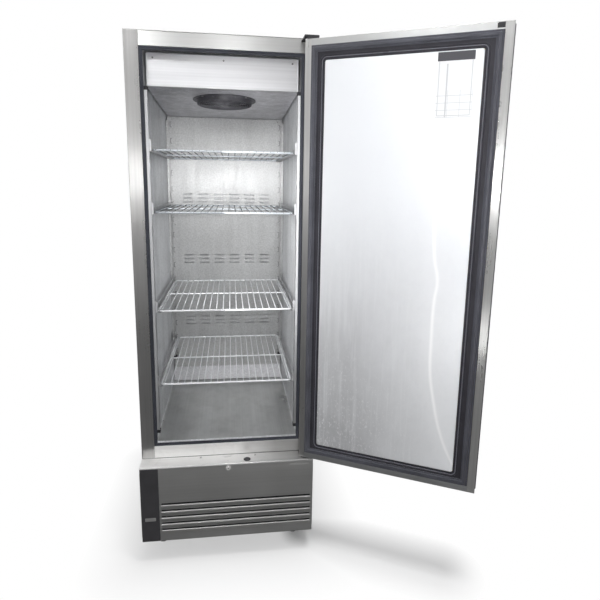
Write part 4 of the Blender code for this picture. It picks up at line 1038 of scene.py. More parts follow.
# ---- drop-down louvred panel ----
x0, x1, y0, y1, z0, z1 = louvre
VENT_X0, VENT_X1 = -270, 340
LIP_HEIGHTS = [152 + 28.4 * i for i in range(5)]  # of each slat's upper lip
LOCK_X, LOCK_Z = 1.4, 417.5
vent_low, vent_high = LIP_HEIGHTS[0] - 1, LIP_HEIGHTS[4] + 10.6
panel_top = nose_low - 0.5
holes = [
    box_loop(VENT_X0, VENT_X1, vent_low, vent_high, 1.2, 2),
    round_loop(LOCK_X, LOCK_Z, 9, 24),
]
sheet = plate(box_loop(x0, x1, z0, panel_top, 0.6, 2), "Y", y0, y0 + SHEET, 0.25, holes)
replace("front_panel_sheet", sheet, PANEL, "louvre_panel", "front_panel")
returns = merge(
    block(x0, x1 - 2.4, y0 + 1.1, -69.5, panel_top - 1.3, panel_top - 0.1, 0.2, 1),
    block(341, 342.2, y0 + 1.1, -58, 120.5, 428, 0.2, 1),
    block(x0, x0 + 1.2, y0 + 1.1, -60, 120.5, 428, 0.2, 1),
    block(-330, x0 + 0.5, -61.2, -60, 130, 410, 0.2, 1),
    block(x0 + 2, x1 - 19, y0 + 1.1, -64, z0 + 1.8, z0 + 2.8, 0.2, 1),
)
build("front_panel_returns", returns, PANEL, "louvre_panel", "front_panel")
slats, lips = [], []
for i, z in enumerate(LIP_HEIGHTS):
    if i:
        # the band leans out towards its upper edge; below it is the slot to the next slat
        band = [(y0 + 3.2, z - 19.6), (y0 + 2.2, z - 18.2), (y0 - 1.4, z - 3.2)]
        slats.append(fold(band, [0, 1.5, 0], 3, 1, "X", VENT_X0, VENT_X1))
    foot_y, nose_y = (y0 - 1.2, y0 - 2.4) if i else (y0 + 0.2, y0 - 1.3)
    lip = [(foot_y, z - 3.4), (nose_y, z + 0.4), (y0 + 0.4, z + 2.1), (y0 + 3.4, z + 1.7)]
    lips.append(fold(lip, [0, 1.4, 1.2, 0], 4, 0.9, "X", VENT_X0 + 0.3, VENT_X1 - 0.3))
build("louvre_slats", join(slats), PANEL, "louvre_panel", "front_panel", 30)
build("louvre_lips", join(lips), LIP, "louvre_panel", "front_panel", 50)
outline = box_loop(y0 + 0.3, y0 + 6.2, vent_low, vent_high)
ends = join(prism(outline, "X", x - 0.6, x + 0.6) for x in (VENT_X0, VENT_X1))
build("louvre_end_walls", ends, PANEL, "louvre_panel", "front_panel")
# a dark screen behind the louvres
wires = []
for i in range(24):
    z = 150 + 5.4 * i
    wires.append(tube([(VENT_X0 - 4, -62.6, z), (VENT_X1 + 2, -62.6, z)], 0.7, 6))
for i in range(31):
    x = VENT_X0 + 20 * i
    wires.append(tube([(x, -63.6, 146), (x, -63.6, 278)], 0.7, 6))
build("dust_screen_mesh", join(wires), BLACK, "louvre_panel", "front_panel")
pad = block(VENT_X0 - 4, VENT_X1 + 0.5, -61.8, -58.4, 144, 280, 0.8)
build("dust_screen_pad", pad, DARK_HOLE, "louvre_panel", "front_panel")

x0, x1, y0, y1, z0, z1 = cad_box("panel_trim_strip")
strip = plate(box_loop(x0, x1, z0, panel_top, 0.8, 3), "Y", y0 - 0.2, y0 + 1.8, 0.5)
replace("trim_strip_face", strip, STRIP, "panel_trim_strip", "front_panel")
fixings = merge(
    block(-342.2, -341, y0 + 1.7, -58, z0 + 2, 428, 0.2, 1),
    block(-342.2, -300, -59.2, -58, 140, 400, 0.2, 1),
)
build("trim_strip_fixings", fixings, STRIP, "panel_trim_strip", "front_panel")
badge = plate(box_loop(x0 + 14, x1 - 15, 199, 214, 2.5, 4), "Y", y0 - 0.9, y0 - 0.15, 0.3)
build("blank_badge", badge, LIP, "panel_trim_strip", "front_panel")
y0 = louvre.y0
nameplate = plate(box_loop(250, 331, 413.5, 419.5, 1.4, 4), "Y", y0 - 0.7, y0 + 0.05, 0.2)
build("blank_nameplate", nameplate, LIP, "louvre_panel", "front_panel")

lock = [
    (0, -3.6), (3, -3.4), (5.6, -2.6), (6.2, -1.5), (7.6, -1.5), (8, -2), (9.2, -2),
    (10.2, -1.3), (10.4, -0.3), (8, -0.3), (8, 7), (0, 7),
]
lock = lathe(lock, 40, (LOCK_X, y0, LOCK_Z), "Y")
replace("lock_body", lock, LOCK_METAL, "panel_lock", "panel_lock")
nut = [(0, 0), (5.4, 0), (5.4, 2.4), (4.6, 3), (0, 3)]
cam = merge(
    block(LOCK_X - 6, LOCK_X + 15, -66.8, -65.2, 412.5, 422.5, 0.6),
    lathe(nut, 6, (LOCK_X, -65.2, LOCK_Z), "Y"),
)
build("lock_cam", cam, ZINC, "panel_lock", "panel_lock")
# the key slot is a near-black bar on the lock's face: painted shade standing for the slot
key_slot = block(
    LOCK_X - 0.8, LOCK_X + 0.8, y0 - 3.7, y0 - 1.4, LOCK_Z - 3.6, LOCK_Z + 3.6, 0.3
)
build("lock_key_slot", key_slot, DARK_HOLE, "panel_lock", "panel_lock")

# ---- opening and liner ----
x0, x1, _, _, z0, z1 = breaker
face = 12.6  # width of the frame's face
profile = [
    (0, 2.2), (0, -0.2), (1.2, -1.2), (4.6, -1.2), (5.6, -0.2), (7.4, 0.5), (11.2, 0.8),
    (face, 2.2), (face, 8), (face - 2, 8), (face - 2.4, 3.6), (face - 4, 2.4),
]
strip = ring_frame(x0, x1, z0, z1, profile)
replace("breaker_strip", strip, SLATE, "breaker_frame", smooth=25)

LINER_X, LINER_LOW, LINER_TOP, LINER_BACK, LINER_ROUND = 290, 510, 2024, 722, 9


def liner_tub():
    """Open-fronted tub whose walls turn into the back with the corners' radius."""
    outer = box_loop(-LINER_X, LINER_X, LINER_LOW, LINER_TOP, LINER_ROUND, 6)
    mesh = bmesh.new()
    rings = [[mesh.verts.new((x, 4.2, z)) for x, z in outer]]
    middle = 1200  # any height between floor and ceiling: tells which way is inwards
    for k in range(6):
        angle = math.pi / 2 * k / 5
        inset = LINER_ROUND * (1 - math.cos(angle))
        y = LINER_BACK - LINER_ROUND + LINER_ROUND * math.sin(angle)
        rings.append([
            mesh.verts.new((
                x - math.copysign(min(inset, abs(x)), x), y,
                z + (inset if z < middle else -inset),
            ))
            for x, z in outer
        ])
    for ring_a, ring_b in zip(rings, rings[1:]):
        bridge(mesh, ring_a, ring_b)
    mesh.faces.new(rings[-1])
    for face in mesh.faces:
        centre = face.calc_center_median()
        if centre.z < LINER_LOW + 2 and centre.y < LINER_BACK - 2:
            face.material_index = 1  # the floor sheet has its own finish
    recalc(mesh)
    data = bpy.data.meshes.new("temp")
    mesh.to_mesh(data)
    mesh.free()
    solid = baked(data, wall=0.9)
    bpy.data.meshes.remove(data)
    return solid


replace("liner_tub", liner_tub(), [WALL, FLOOR_SHEET], "interior_liner", smooth=40)
liner = cad_box("interior_liner")
opening = box_loop(
    -LINER_X + 0.4, LINER_X - 0.4, LINER_LOW + 0.4, LINER_TOP - 0.4, LINER_ROUND, 6
)
flange = plate(box_loop(liner.x0, liner.x1, 492, 2026, 1, 2), "Y", 3, 4, 0.15, [opening])
build("liner_flange", flange, WALL, "interior_liner")
# the drain in the middle of the floor, towards the back
drain = [(6, 0.9), (7, 1.4), (17, 0.8), (18, 0), (17, -0.4), (6, -0.4)]
build("floor_drain", lathe(drain, 36, (0, 610, LINER_LOW)), WALL, "interior_liner")

# ---- evaporator cover ----
x0, x1, y0, y1, z0, z1 = cad_box("evaporator_cover")
FRONT_LOW = 1899  # lower edge of the cover's front; the underside falls from here to z0
fall = (FRONT_LOW - z0) / (y1 - y0)
tilt = math.atan(fall)
front = fold(
    [(y0 + 16, z1), (y0, z1), (y0, FRONT_LOW), (y0 + 12, FRONT_LOW - 12 * fall)],
    [0, 2.6, 2.4, 0], 6, SHEET, "X", x0 + 7, x1 - 7,
)
flanges = join(
    block(a, b, y0 + 5, y0 + 6.2, FRONT_LOW + 2, z1 - 1, 0.3, 1)
    for a, b in ((x0, x0 + 9), (x1 - 9, x1))
)
build("evaporator_front_flanges", flanges, POST_FACE, "evaporator_cover")
replace("evaporator_front", front, COVER, "evaporator_cover", smooth=30)
FAN_Y = 255
under_y = y0 + 11  # the underside sheet starts behind the front's bend
length = (y1 - y0 - 11) / math.cos(tilt)
fan_hole = round_loop(0, (FAN_Y - y0 - 11) / math.cos(tilt), 111, 64)
under = plate(box_loop(x0, x1, 0, length, 1, 2), "Z", 0, SHEET, 0.15, [fan_hole])
for vert in under.verts:
    x, along, up = vert.co
    y = under_y + along * math.cos(tilt) + up * math.sin(tilt)
    z = FRONT_LOW - 11 * fall - along * math.sin(tilt) + up * math.cos(tilt)
    vert.co = Vector((x, y, z))
build("evaporator_underside", under, UNDERSIDE, "evaporator_cover")
rear_lip = block(x0, x1, y1 - 1.2, y1, z0 + 0.4, z0 + 12, 0.2, 1)
build("evaporator_rear_lip", rear_lip, WALL, "evaporator_cover")
end = [
    (y0 + 3, FRONT_LOW + 2), (y0 + 3, FRONT_LOW + 60), (y1 - 2, z0 + 24), (y1 - 2, z0 + 3)
]
ends = join(prism(end, "X", side * (x1 - 1), side * x1) for side in (-1, 1))
build("evaporator_end_plates", ends, WALL, "evaporator_cover")
spots = [(x, y0, 2000) for x in (-257, 0, 258)]
screws("cover_screws", "evaporator_cover", spots, looks=(DARK_HOLE, SCREW), radius=3.2, height=1.6)

# ---- evaporator fan and coil, drawn in the fan's own axes ----
FAN_SEAT = Matrix.Translation(
    Vector((0, FAN_Y, FRONT_LOW - fall * (FAN_Y - y0)))
) @ Matrix.Rotation(-tilt, 4, "X")


def guard_wires():
    rim = [
        (109, -18.5), (110.4, -19.4), (112, -18.6), (113.5, -6), (117, -3.4), (127.5, -3.2),
        (129, -2.2), (129, -0.5), (112, -0.5), (110.5, -4),
    ]
    centre = [(0, -22.4), (14, -22.2), (17, -21.2), (18, -19.4), (0, -19)]
    parts = [lathe(rim, 72)]
    for i in range(12):
        radius = 20 + 7.6 * i
        sag = -20.5 + 3 * (radius / 110) ** 3
        loop = [(x, y, sag) for x, y in round_loop(0, 0, radius, 48)]
        parts.append(tube(loop, 1.15, 6, closed=True))
    parts.append(lathe(centre, 36))
    for i in range(8):
        angle = 2 * math.pi * (i + 0.5) / 8
        spoke = [
            (r * math.cos(angle), r * math.sin(angle), z)
            for r, z in ((16, -19.3), (104, -17), (112, -8), (115, -3))
        ]
        parts.append(tube(fillet(spoke, [0, 6, 3, 0], 4), 1.7, 7))
    return join(parts)


replace("fan_guard_wire", move(guard_wires(), FAN_SEAT), GUARD, "evaporator_fan_guard")
angles = [math.pi / 4 + math.pi / 2 * i for i in range(4)]
spots = [(121 * math.cos(a), 121 * math.sin(a), -3) for a in angles]
# the guard screws' crosses are near-black bars as well: painted shade standing for the recessed
# slots
heads, recesses = screw_meshes(spots, "Z", -1)
build("guard_screws", move(heads, FAN_SEAT), SCREW, "evaporator_fan_guard")
build("guard_screw_recess", move(recesses, FAN_SEAT), DARK_HOLE, "evaporator_fan_guard")


def evaporator_motor():
    body = [
        (0, 28), (5, 28), (5.6, 29), (6, 38), (30, 38), (34.5, 39.5), (36, 43), (36, 56),
        (35, 56.6), (35, 58.4), (36, 59), (36, 72), (33, 77), (28, 78), (0, 78),
    ]
    mesh = lathe(body, 44)
    for i in range(3):
        strap = [(34, 51.5), (123.4, 51.5), (123.4, 1.8)]
        arm = join([
            fold(strap, [0, 6, 0], 4, 2, "X", -5, 5, side=-1, edge=0.3),
            tube([(-3.5, 33, 51), (-3.5, 120, 51)], 1.2, 6),
            tube([(3.5, 33, 51), (3.5, 120, 51)], 1.2, 6),
        ])
        merge(mesh, move(arm, Matrix.Rotation(math.radians(90 + 120 * i), 4, "Z")))
    return mesh


motor = move(evaporator_motor(), FAN_SEAT)
replace("evaporator_motor_body", motor, PAINT, "evaporator_fan_motor")


def fan_blades(hub, tip, low, high, pitch):
    """A hub of radius hub with five swept, cupped blades, about the local Z axis."""
    middle = (low + high) / 2
    root = hub * 0.96
    mesh = lathe([
        (0, low), (hub * 0.55, low), (hub * 0.92, low + 1.5), (hub, low + 4), (hub, high - 2),
        (hub * 0.95, high), (hub * 0.5, high), (0, high - 1),
    ], 40)
    rows, columns = 9, 7  # points out from the hub, points across the blade
    for blade in range(5):
        base = 2 * math.pi * blade / 5
        grid = {}
        for face in (0, 1):
            for i in range(rows):
                t = i / (rows - 1)
                r = root + (tip - root) * t
                width = math.radians(44 + 10 * math.sin(math.pi * min(1, t * 1.1)))
                chord = width * (hub * 0.5 + 0.5 * r) / r * 1.15
                slope = math.tan(math.radians(pitch * (1 - 0.35 * t)))
                for j in range(columns):
                    s = j / (columns - 1) - 0.5
                    reach = root + (r - root) * (1 - 0.1 * (2 * s) ** 2 * t)
                    angle = base + 0.42 * t * t + s * chord
                    z = middle + (-s * chord * r * slope + 2.5 * (1 - (2 * s) ** 2))
                    z = max(low + 0.9, min(high - 0.9, z)) + (0.75 if face else -0.75)
                    at = (reach * math.cos(angle), reach * math.sin(angle), z)
                    grid[face, i, j] = mesh.verts.new(at)
        for i in range(rows - 1):
            for j in range(columns - 1):
                quad = ((i, j), (i + 1, j), (i + 1, j + 1), (i, j + 1))
                mesh.faces.new([grid[1, a, b] for a, b in quad])
                quad = (quad[0], quad[3], quad[2], quad[1])
                mesh.faces.new([grid[0, a, b] for a, b in quad])
        rim = [(i, 0) for i in range(rows)]
        rim += [(rows - 1, j) for j in range(1, columns)]
        rim += [(i, columns - 1) for i in range(rows - 2, -1, -1)]
        rim += [(0, j) for j in range(columns - 2, 0, -1)]
        bridge(mesh, *([grid[face, i, j] for i, j in rim] for face in (0, 1)))
    return recalc(mesh)


blades = fan_blades(hub=26, tip=98, low=6, high=24, pitch=20)
blades = move(blades, FAN_SEAT)
replace("evaporator_blades", blades, BLADE, "evaporator_fan_blade", "evaporator_fan")

x0, x1, y0, y1, z0, z1 = cad_box("evaporator_coil")
dress("evaporator_coil", FINS)
fins = []
for i in range(60):
    x = x0 + 3.5 + (x1 - x0 - 7) * i / 59
    fins.append(block(x - 0.35, x + 0.35, y0 - 8, y0 + 1, z0 + 2, z1 - 2))
build("evaporator_fins", join(fins), FINS, "evaporator_coil")

# ---- air duct at the back ----
duct = cad_box("rear_duct_panel")
DUCT_LOW, DUCT_FACE = 571, 694
holes, rims = [], []
for bank_top in (1499.5, 1188, 857.5):
    for row in range(3):
        for column in range(6):
            x, z = -226 + 78.2 * column, bank_top - 20 * row
            holes.append(slot_loop(x + 6.5, x + 54.5, z - 6.8, z - 0.6))
            # pressed rim round each slot
            loop = slot_loop(x + 5.9, x + 55.1, z - 7.4, z)
            rims.append(tube([(u, DUCT_FACE, v) for u, v in loop], 0.6, 5, closed=True))
outline = box_loop(duct.x0, duct.x1, DUCT_LOW, duct.z1, 1.5, 3)
sheet = plate(outline, "Y", DUCT_FACE, DUCT_FACE + 1.2, 0.2, holes)
replace("duct_face", sheet, DUCT, "rear_duct_panel")
build("duct_slot_rims", join(rims), DUCT, "rear_duct_panel", smooth=80)
returns = join(
    block(s * duct.x1, s * (duct.x1 - 1.2), 694.6, 721, DUCT_LOW + 2, duct.z1 - 2, 0.2, 1)
    for s in (-1, 1)
)
build("duct_returns", returns, DUCT, "rear_duct_panel")
# the foot's paler finish is painted light where it faces up
foot = fold(
    [(694.2, DUCT_LOW + 3), (694.2, DUCT_LOW), (656.2, 512), (654.6, 511.2)],
    [0, 3, 1, 0], 4, 1.1, "X", -285.8, 285.8, side=-1,
)
build("duct_foot", foot, FOOT, "rear_duct_panel")
# the hook slots are near-black rods just in front of the sheet: painted shade standing for the
# slots
marks = []
for side in (-1, 1):
    for i in range(16):
        x, z = side * 272, 1835 - 78 * i
        inner = x - side * 7
        hook = [(inner, z + 12), (x, z + 12), (x, z - 12), (inner, z - 12)]
        marks.append(tube(fillet([(u, 693.8, v) for u, v in hook], 1.5, 2), 0.9, 5))
build("duct_hook_slots", join(marks), DARK_HOLE, "rear_duct_panel", smooth=80)
spots = [(s * 262, DUCT_FACE, z) for s in (-1, 1) for z in (1860, 1340, 980, 600)]
screws("duct_screws", "rear_duct_panel", spots, radius=3.4, height=1.8)


# ---- racking posts, clips and runners ----
def racking_post(corner):
    node = f"racking_post_{corner}"
    x0, x1, y0, y1, z0, z1 = cad_box(node)
    side = -1 if corner.endswith("left") else 1
    rear = "rear" in corner
    inner, outer = (x1, x0) if side < 0 else (x0, x1)
    low, high = z0 + 13, z1 - 13
    slots = []
    z = z0 + 30
    while z < z1 - 24:
        slots.append(box_loop(y0 + 5, y1 - 5, z, z + 6, 1, 2))
        z += 25
    web = plate(
        box_loop(y0, y1, low, high, 0.8, 2), "X", inner, inner + side * 1.4, 0.2, slots
    )
    face_x = inner + side * 0.3
    merge(web, block(face_x, outer, y1 - 1.4, y1, low, high, 0.4, 2))
    replace(f"post_{corner}", web, PRESSED, node)
    front = block(face_x, outer, y0, y0 + 1.4, low, high, 0.4, 2)
    build(f"post_face_{corner}", front, DUCT if rear else POST_FACE, node)
    heights = [(z0, z0 + 14.5), (z1 - 14.5, z1)]
    if rear:
        del heights[1]  # the rear posts run up behind the evaporator cover
    clip_x = inner - side * (9 if rear else 1.5)
    clips = join(
        block(clip_x, outer, y0 - 0.5, y1 + 0.5, a, b, 1.6, 3) for a, b in heights
    )
    build(f"post_clips_{corner}", clips, BLACK, node)


def shelf_runner(number, word, side):
    node = f"shelf_runner_{number}_{word}"
    _, _, y0, y1, z0, z1 = cad_box(node)
    top = z1 - 34
    web_x, leg_x = side * 276.6, side * 255
    # folded angle: leg under the shelf's side bar, bend, low web, higher at both ends
    angle = fold(
        [(leg_x, z0 + 2.4), (leg_x, z0), (web_x, z0), (web_x, top + 14)], [0, 1, 2.2, 0], 4,
        1.3, "Y", y0 + 1.6, y1, side=side,
    )
    for a, b in ((y0 + 1.6, 80), (640, y1)):
        ear = [(a, top + 12), (b, top + 12), (b, z1), (a, z1)]
        ear = fillet(ear, [0, 0, 7, 7], 4, closed=True)
        merge(angle, prism(ear, "X", web_x, web_x - side * 1.3))
    tab_x = sorted((side * 270, web_x))
    tab = prism(box_loop(*tab_x, z0, z1, 2, 4), "Y", y0 + 0.2, y0 + 1.6, 0.3, 1)
    build(f"runner_tab_{number}_{word}", tab, POST_FACE, node, smooth=30)
    for y in (y0 + 10, 673):  # hooks that sit in the posts' slots
        hook_x = (web_x - side * 0.5, web_x + side * 6)
        merge(angle, block(*hook_x, y - 3.4, y + 3.4, top + 20, top + 24, 0.8, 2))
    replace(f"runner_{number}_{word}", angle, PRESSED, node, smooth=30)


for corner in ("front_left", "front_right", "rear_left", "rear_right"):
    racking_post(corner)
for number in range(1, 5):
    for word, side in SIDES:
        shelf_runner(number, word, side)


# ---- wire shelves ----
def wire_shelf(number, bar_look, wire_look):
    node, body = f"wire_shelf_{number}", f"shelf_{number}"
    x0, x1, y0, y1, z0, z1 = cad_box(node)
    bar = 3.9  # radius of the perimeter bar
    wire = 2.2  # radius of a grid wire
    bar_z = z0 + bar + 0.05
    loop = box_loop(x0 + bar, x1 - bar, y0 + bar, y1 - bar, 12, 6)
    bars = merge(
        tube([(x, y, bar_z) for x, y in loop], bar, 12, closed=True),
        tube([(x0 + 4, 359, bar_z - 0.5), (x1 - 4, 359, bar_z - 0.5)], 3.3, 12),
    )
    low, high = bar_z - 0.6, z1 - wire + 0.3
    wires = []
    for i in range(20):
        x = x0 + (x1 - x0) / 20 * (i + 0.5)
        line = [(x, y0 + 1.2, low), (x, y0 + 3.2, high), (x, y1 - 3.2, high), (x, y1 - 1.2, low)]
        wires.append(tube(fillet(line, [0, 3, 3, 0], 3), wire, 8))
    replace(f"shelf_bars_{number}", bars, bar_look, node, body=body, smooth=60)
    build(f"wire_grid_{number}", join(wires), wire_look, node, body=body, smooth=60)


# the two upper shelves take darker copies of the wire finish: painted shade
wire_shelf(1, BAR_PAINTED_SHADE, WIRE_PAINTED_SHADE)
wire_shelf(2, BAR_PAINTED_SHADE, WIRE_PAINTED_HALF_SHADE)
wire_shelf(3, WIRE, WIRE)
wire_shelf(4, WIRE, WIRE)

# ---- unit compartment: compressor ----
COMP_X, COMP_Y = -150, 540
casing = [
    (0, 118), (58, 118), (72, 120.5), (80, 127), (83.5, 140), (85, 184), (88, 185.2),
    (88, 192.8), (85, 194), (83.5, 214), (79, 234), (69, 252), (54, 264.5), (36, 272),
    (14, 275.4), (0, 276),
]
foot = [
    (0, 107.6), (11, 107.6), (12, 110), (12, 114), (9, 118), (9, 122), (4, 122.5), (4, 127),
    (0, 127),
]
base = [(480.5, 112), (484, 108.6), (596, 108.6), (599.5, 112)]
stub = [(COMP_X + dx, COMP_Y + dy, 150) for dx, dy in ((60, -55), (74, -68), (86, -80))]
compressor = merge(
    lathe(casing, 56, (COMP_X, COMP_Y, 0)),
    fold(base, 0, 1, 2.5, "X", -249.5, -50.5, edge=0.4),
    *(lathe(foot, 20, (x, y, 0)) for x in (-236, -64) for y in (496, 584)),
    block(-186, -114, 440, 479, 150, 214, 4, 3),
    tube(stub, 4.5, 10),
)
replace("compressor_shell", compressor, PAINT, "compressor", smooth=30)
screws("terminal_screws", "compressor", [(-150, 440, 182)])

# ---- condenser coil and fan ----
x0, x1, y0, y1, z0, z1 = cad_box("condenser_coil")
fins = []
for i in range(120):
    x = x0 + 6 + 1.5 + (x1 - x0 - 12 - 3) * i / 119
    fins.append(block(x - 0.22, x + 0.22, y0 + 4, y1 - 4, 132, 392))
replace("condenser_fins", join(fins), FINS, "condenser_coil", smooth=60)
plates = []
for x, foot_x0, foot_x1 in ((x0, x0, x0 + 11.5), (x1 - 1.5, x1 - 11.5, x1)):
    plates.append(block(x, x + 1.5, y0, y1, z0, z1, 0.3, 1))
    plates.append(block(foot_x0, foot_x1, y0, y1, z0, z0 + 1.5, 0.3, 1))
plates.append(block(x0, x1, y0 + 2, y1 - 2, z1 - 2, z1, 0.3, 1))
build("condenser_end_plates", join(plates), ZINC, "condenser_coil")
pipes = []
pipe_heights = [148 + 32 * i for i in range(8)]
for y in (36, 68):
    for z in pipe_heights:
        pipes.append(tube([(x0 - 1, y, z), (x1 + 1, y, z)], 4.6, 10))
    for i, z in enumerate(pipe_heights[:-1]):  # return bends, right and left in turn
        x, side = (x0 - 1, -1) if i % 2 else (x1 + 1, 1)
        angles = [math.pi * t / 8 for t in range(1, 8)]
        arc = [(x + side * 14 * math.sin(a), y, z + 16 - 16 * math.cos(a)) for a in angles]
        pipes.append(tube([(x, y, z), *arc, (x, y, z + 32)], 4.6, 10))
build("condenser_pipes", join(pipes), COPPER, "condenser_coil", smooth=60)

FAN_X, FAN_Z = 30, 262
body = [
    (0, 150), (5, 150), (6, 151), (6, 160), (38, 160), (43.5, 162), (46, 167), (46, 186),
    (45, 186.8), (45, 189), (46, 190), (46, 214), (43, 222), (36, 226), (0, 226),
]
motor = lathe(body, 48, (FAN_X, 0, FAN_Z), "Y")
for side in (-1, 1):
    strap = [
        (FAN_X + side * 58, 108.4), (FAN_X + side * 25, 108.4),
        (FAN_X + side * 25, FAN_Z - 30), (FAN_X + side * 14, FAN_Z),
    ]
    merge(motor, fold(strap, [0, 5, 6, 0], 4, 3, "Y", 182, 208, side=side, edge=0.4))
replace("condenser_motor_body", motor, PAINT, "condenser_fan_motor")
blades = fan_blades(hub=30, tip=116, low=-8, high=18, pitch=22)
seat = Matrix.Translation((FAN_X, 128, FAN_Z)) @ Matrix.Rotation(math.radians(-90), 4, "X")
blades = move(blades, seat)
replace("condenser_blades", blades, BLADE, "condenser_fan_blade", "condenser_fan")
fan_hole = round_loop(FAN_X, FAN_Z, 123, 72)
collar = [
    (123, 90.4), (123.4, 96), (122.6, 108), (123.8, 108), (124.6, 96), (124.4, 90.4)
]
shroud = merge(
    plate(box_loop(x0 + 2, x1 - 2, 134, 394, 4, 3), "Y", 90, 91.2, 0.2, [fan_hole]),
    lathe(collar, 72, (FAN_X, 0, FAN_Z), "Y"),
)
build("condenser_fan_shroud", shroud, BLACK, "condenser_coil")


# ---- drip tray ----
def drip_tray():
    x0, x1, y0, y1, _, _ = cad_box("condensate_tray")
    mesh = bmesh.new()
    rings = []
    for inset, z in (  # outside from below, over the rim and down the inside
        (1.8, 130.3), (0.2, 134), (0, 178), (1.2, 179), (2.4, 178), (4, 134), (9, 131.8)
    ):
        radius = max(2.0, 10 - inset)
        loop = box_loop(x0 + inset, x1 - inset, y0 + inset, y1 - inset, radius, 5)
        rings.append([mesh.verts.new((x, y, z)) for x, y in loop])
    for ring_a, ring_b in zip(rings, rings[1:]):
        bridge(mesh, ring_a, ring_b)
    mesh.faces.new(rings[0])
    mesh.faces.new(rings[-1])
    recalc(mesh)
    for x in (70, 270):
        for y in (510, 670):
            merge(mesh, block(x - 10, x + 10, y - 10, y + 10, 107.4, 130.6, 1.5, 2))
    return mesh


replace("drip_tray", drip_tray(), BLACK, "condensate_tray", smooth=40)

# ---- refrigerant line, control box and supply cord ----
line = [
    (-150, 540, 274), (-150, 540, 330), (-240, 540, 330), (-240, 330, 330), (-190, 330, 330),
    (-190, 60, 330), (-158, 60, 330),
]
pipe = tube(fillet(line, 16, 8), 5, 14)
replace("refrigerant_tube", pipe, COPPER, "refrigerant_line", smooth=60)
joints = join([
    lathe([(0, 276), (7.6, 276), (7.6, 292), (5.4, 295), (0, 295)], 24, (-150, 540, 0)),
    lathe([(5.1, 0), (6.9, 0.5), (6.9, 17), (5.1, 18)], 24, (-190, 180, 330), "Y"),
])
build("refrigerant_joints", joints, COPPER, "refrigerant_line", smooth=60)

housing = merge(
    block(-336, -252, 60, 230, 150, 320, 3, 3),
    *(block(-343.6, -335.5, y, y + 20, 107.5, 330, 1, 2) for y in (80, 190)),
)
replace("control_housing", housing, GREY, "control_box")
hole = box_loop(-322, -266, 230, 300, 3, 3)
lid = plate(box_loop(-331, -257, 160, 310, 5, 4), "Y", 57.6, 60.4, 0.6, [hole])
build("control_lid", lid, GREY, "control_box")
window = plate(box_loop(-321.5, -266.5, 230.5, 299.5, 3, 3), "Y", 59.2, 60.6, 0.3)
build("control_window", window, DARK_HOLE, "control_box")
spots = [(x, 57.6, z) for x in (-326, -262) for z in (168, 216)]
screws("control_screws", "control_box", spots, radius=3, height=1.6)

line = [
    (-319, 700, 157), (-319, 778, 157), (-319, 778, 30), (-249, 778, 30), (-249, 778, 300),
    (-199, 778, 300), (-199, 778, 66),
]
replace("supply_cord", tube(fillet(line, 18, 8), 4, 14), BLACK, "power_cord", smooth=60)
neck = [(4.2, 76), (6, 75), (7.5, 66), (9.5, 55), (12, 50), (12, 46), (4.2, 46)]
plug = merge(
    block(-219, -179, 763.5, 792.5, 28, 52, 5, 4),
    lathe(neck, 24, (-199, 778, 0)),
)
for z in (56.5, 61, 65.5, 70):
    r = 9.2 - (z - 56) * 0.13
    merge(plug, lathe([(4.2, z), (r, z), (r, z + 1.8), (4.2, z + 1.8)], 24, (-199, 778, 0)))
build("supply_plug", plug, BLACK, "power_cord")
pins = join([
    block(-211, -205, 775, 781, 6, 29, 0.6, 2),
    block(-193, -187, 775, 781, 6, 29, 0.6, 2),
    block(-202, -196, 784, 790, 7, 29, 0.6, 2),
])
build("supply_plug_pins", pins, SCREW, "power_cord")
CLIP = [  # (offset from the cord's middle, y)
    (-12, 759.6), (-5.6, 759.6), (-5.6, 784.4), (5.6, 784.4), (5.6, 759.6), (12, 759.6)
]
clips = join(
    fold([(x + dx, y) for dx, y in CLIP], [0, 1.5, 5, 5, 1.5, 0], 4, 1, "Z", z - 5, z + 5)
    for x, z in ((-319, 95), (-249, 165), (-199, 240))
)
build("cord_clips", clips, BLACK, "power_cord")

# ---- base and castors ----
base = dress("base_chassis", ZINC_DARK)
# weld the imported triangles' split corners, then round the sharp edges
weld = base.modifiers.new("weld", "WELD")
weld.merge_threshold = 0.00001
flat = base.modifiers.new("flat", "DECIMATE")
flat.decimate_type = "DISSOLVE"
flat.angle_limit = math.radians(1)
bevel = base.modifiers.new("edge", "BEVEL")
bevel.width = 0.4 * MM
bevel.segments = 2
bevel.limit_method = "ANGLE"
bevel.angle_limit = math.radians(40)
bevel.use_clamp_overlap = True

CASTORS = {  # swivel axis x and y, and which way the wheel trails along Y
    "front_left": (-285, 104, -1), "front_right": (285, 104, -1),
    "rear_left": (-285, 680, 1), "rear_right": (285, 680, 1),
}
AXLE_Z = 37.5
bolts = []
for x, y, _ in CASTORS.values():
    for dx in (-38, 38):
        for dy in (-29, 29):
            at = (x + dx, y + dy, 0)
            head = [(0, 101.2), (6.4, 101.2), (6.4, 97.4), (5.8, 96.8), (0, 96.8)]
            washer = [(0, 101.2), (8.4, 101.2), (8.4, 100), (0, 100)]
            bolts += [lathe(head, 6, at), lathe(washer, 24, at)]
build("castor_plate_bolts", join(bolts), ZINC, "base_chassis", smooth=30)


